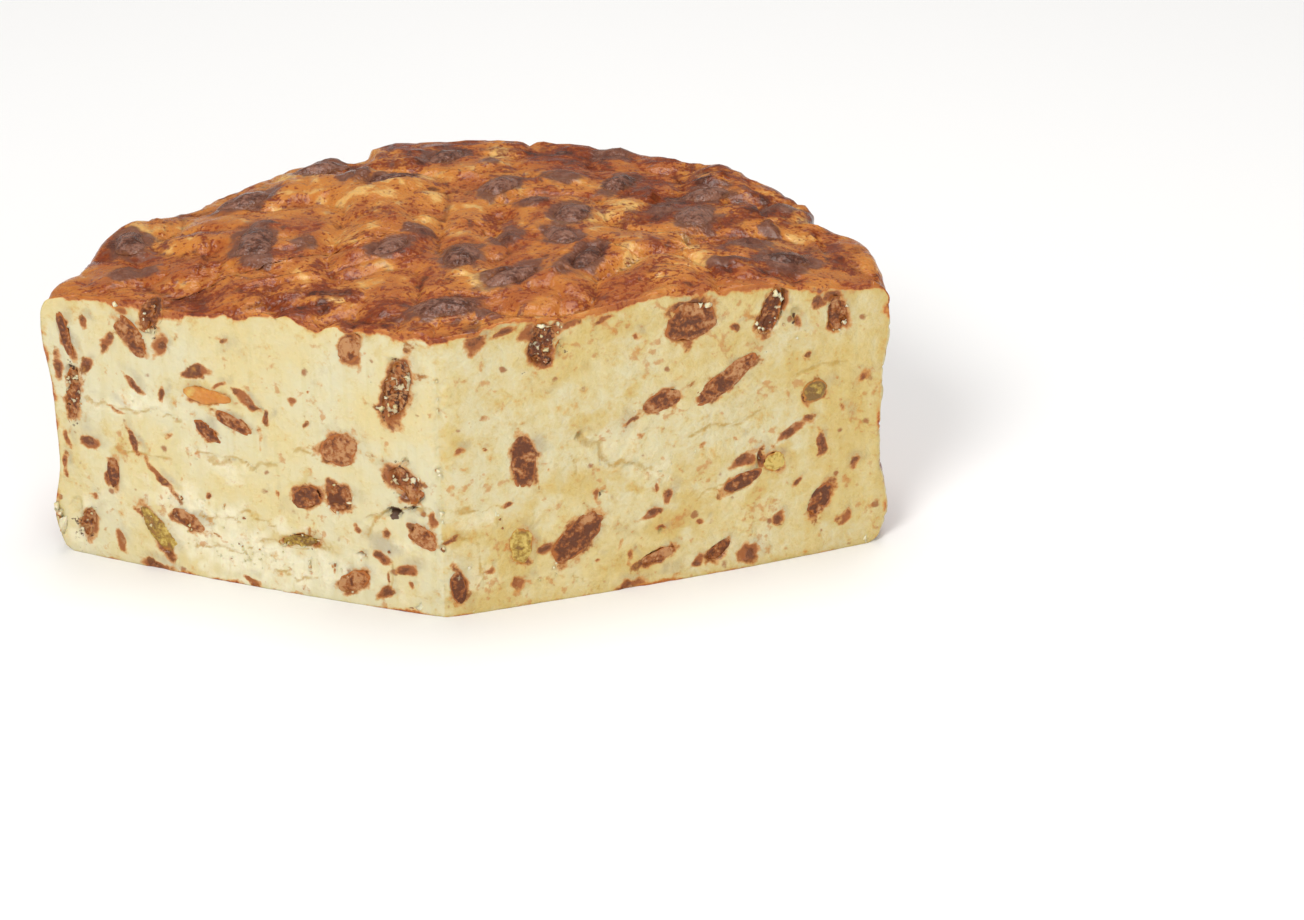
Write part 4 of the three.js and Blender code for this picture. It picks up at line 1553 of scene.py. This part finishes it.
class CHEESE_OT_body(bpy.types.Operator):
    """Build the curd with its baked skin, in the stead of the plain solid"""

    bl_idname = "cheese.build_body"
    bl_label = "Curd and skin"

    def execute(self, context):
        points, triangles, fields = cheese_surface(context.scene.cheese)
        made = piece("curd_and_baked_skin", points, triangles, fields, cheese_finish())
        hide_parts("cheese_wheel")
        return {"FINISHED"}


class CHEESE_OT_crumbs(bpy.types.Operator):
    """Build the loose crumbs of curd on the cut faces"""

    bl_idname = "cheese.build_crumbs"
    bl_label = "Crumbs"

    def execute(self, context):
        points, triangles, fields = crumb_surfaces()
        piece("curd_crumbs", points, triangles, fields, bpy.data.materials[CURD_FINISH])
        return {"FINISHED"}


class CHEESE_OT_cut_fruit(bpy.types.Operator):
    """Build the fruit that the two cuts go through"""

    bl_idname = "cheese.build_cut_fruit"
    bl_label = "Cut fruit"

    def execute(self, context):
        build_fruit(("left", "right"))
        return {"FINISHED"}


class CHEESE_OT_skin_fruit(bpy.types.Operator):
    """Build the raisins that lie in the baked top and in the rim"""

    bl_idname = "cheese.build_skin_fruit"
    bl_label = "Raisins in the skin"

    def execute(self, context):
        build_fruit(("top", "rim"))
        return {"FINISHED"}


def lamp(name, size, power, place, aim, colour):
    """Adds a round area lamp, in metres and watts, turned to face a point."""
    data = bpy.data.lights.new(name, "AREA")
    data.shape = "DISK"
    data.size = size
    data.energy = power
    data.color = colour
    made = bpy.data.objects.new(name, data)
    look = np.array(aim) - np.array(place)
    out = -look / np.linalg.norm(look)
    side = np.cross((0.0, 1.0, 0.01), out)
    side = side / np.linalg.norm(side)
    made.matrix_world = turned_to(side, np.cross(out, side), out, place)
    bpy.context.scene.collection.objects.link(made)


def turned_to(side, up, out, place):
    """The matrix whose columns are three axes and a place."""
    rows = np.eye(4)
    rows[:3, 0], rows[:3, 1], rows[:3, 2], rows[:3, 3] = side, up, out, place
    return Matrix(rows.tolist())


class CHEESE_OT_stage(bpy.types.Operator):
    """Set the floor, the soft studio lamps and the camera"""

    bl_idname = "cheese.build_stage"
    bl_label = "Stage"

    def execute(self, context):
        settings = context.scene.cheese
        half = settings.floor_size / 2
        mesh = bpy.data.meshes.new("studio_floor")
        corners = half * np.array([(-1, -1, 0), (1, -1, 0), (1, 1, 0), (-1, 1, 0)])
        mesh.from_pydata(corners.tolist(), [], [(0, 1, 2, 3)])
        mesh.materials.append(floor_finish())
        floor = bpy.data.objects.new("studio_floor", mesh)
        context.scene.collection.objects.link(floor)
        world = bpy.data.worlds.new("studio")
        world.use_nodes = True
        world.node_tree.nodes["Background"].inputs["Color"].default_value = (1.0, 1.0, 1.0, 1.0)
        world.node_tree.nodes["Background"].inputs["Strength"].default_value = 0.3
        context.scene.world = world
        colour = settings.light_colour
        middle = (0.0, 0.03, 0.05)
        lamp("key_softbox", 0.5, 12.5, (-0.5, -0.95, 1.05), middle, colour)
        lamp("top_softbox", 0.8, 9.0, (0.1, 0.25, 1.3), middle, colour)
        lamp("front_fill", 0.9, 5.0, (0.6, -1.3, 0.6), middle, colour)
        camera = bpy.data.cameras.new("camera")
        camera.lens = CAMERA_LENS
        camera.sensor_width = CAMERA_SENSOR
        made = bpy.data.objects.new("camera", camera)
        yaw, pitch, roll = np.radians((CAMERA_YAW, CAMERA_PITCH, CAMERA_ROLL))
        ahead = np.array((np.sin(yaw) * np.cos(pitch), np.cos(yaw) * np.cos(pitch), -np.sin(pitch)))
        right = np.array((np.cos(yaw), -np.sin(yaw), 0.0))
        up = np.cross(right, ahead)
        side = np.cos(roll) * right + np.sin(roll) * up
        made.matrix_world = turned_to(side, np.cross(ahead, -side), -ahead, np.array(CAMERA_PLACE) * MM)
        context.scene.collection.objects.link(made)
        context.scene.camera = made
        context.scene.view_settings.view_transform = "Standard"
        return {"FINISHED"}


class CHEESE_PT_panel(bpy.types.Panel):
    """The steps that build the cheese, in order"""

    bl_idname = "CHEESE_PT_panel"
    bl_label = "Cut Baked Cheese Wheel"
    bl_space_type = "VIEW_3D"
    bl_region_type = "UI"
    bl_category = "Cheese"

    def draw(self, context):
        settings = context.scene.cheese
        for name in ("crumb", "wrinkles", "fruit_rise", "fruit_spread", "floor_size", "light_colour"):
            self.layout.prop(settings, name)
        for operator in OPERATORS:
            self.layout.operator(operator.bl_idname)


OPERATORS = (CHEESE_OT_stage, CHEESE_OT_body, CHEESE_OT_crumbs, CHEESE_OT_cut_fruit, CHEESE_OT_skin_fruit)
CLASSES = (CheeseSettings, *OPERATORS, CHEESE_PT_panel)


def register():
    for cls in CLASSES:
        bpy.utils.register_class(cls)
    bpy.types.Scene.cheese = PointerProperty(type=CheeseSettings)


def unregister():
    del bpy.types.Scene.cheese
    for cls in reversed(CLASSES):
        bpy.utils.unregister_class(cls)


def main():
    """Builds the stage and the pieces in order."""
    register()
    bpy.ops.cheese.build_stage()
    bpy.ops.cheese.build_body()
    bpy.ops.cheese.build_crumbs()
    bpy.ops.cheese.build_cut_fruit()
    bpy.ops.cheese.build_skin_fruit()


if __name__ == "__main__":
    main()
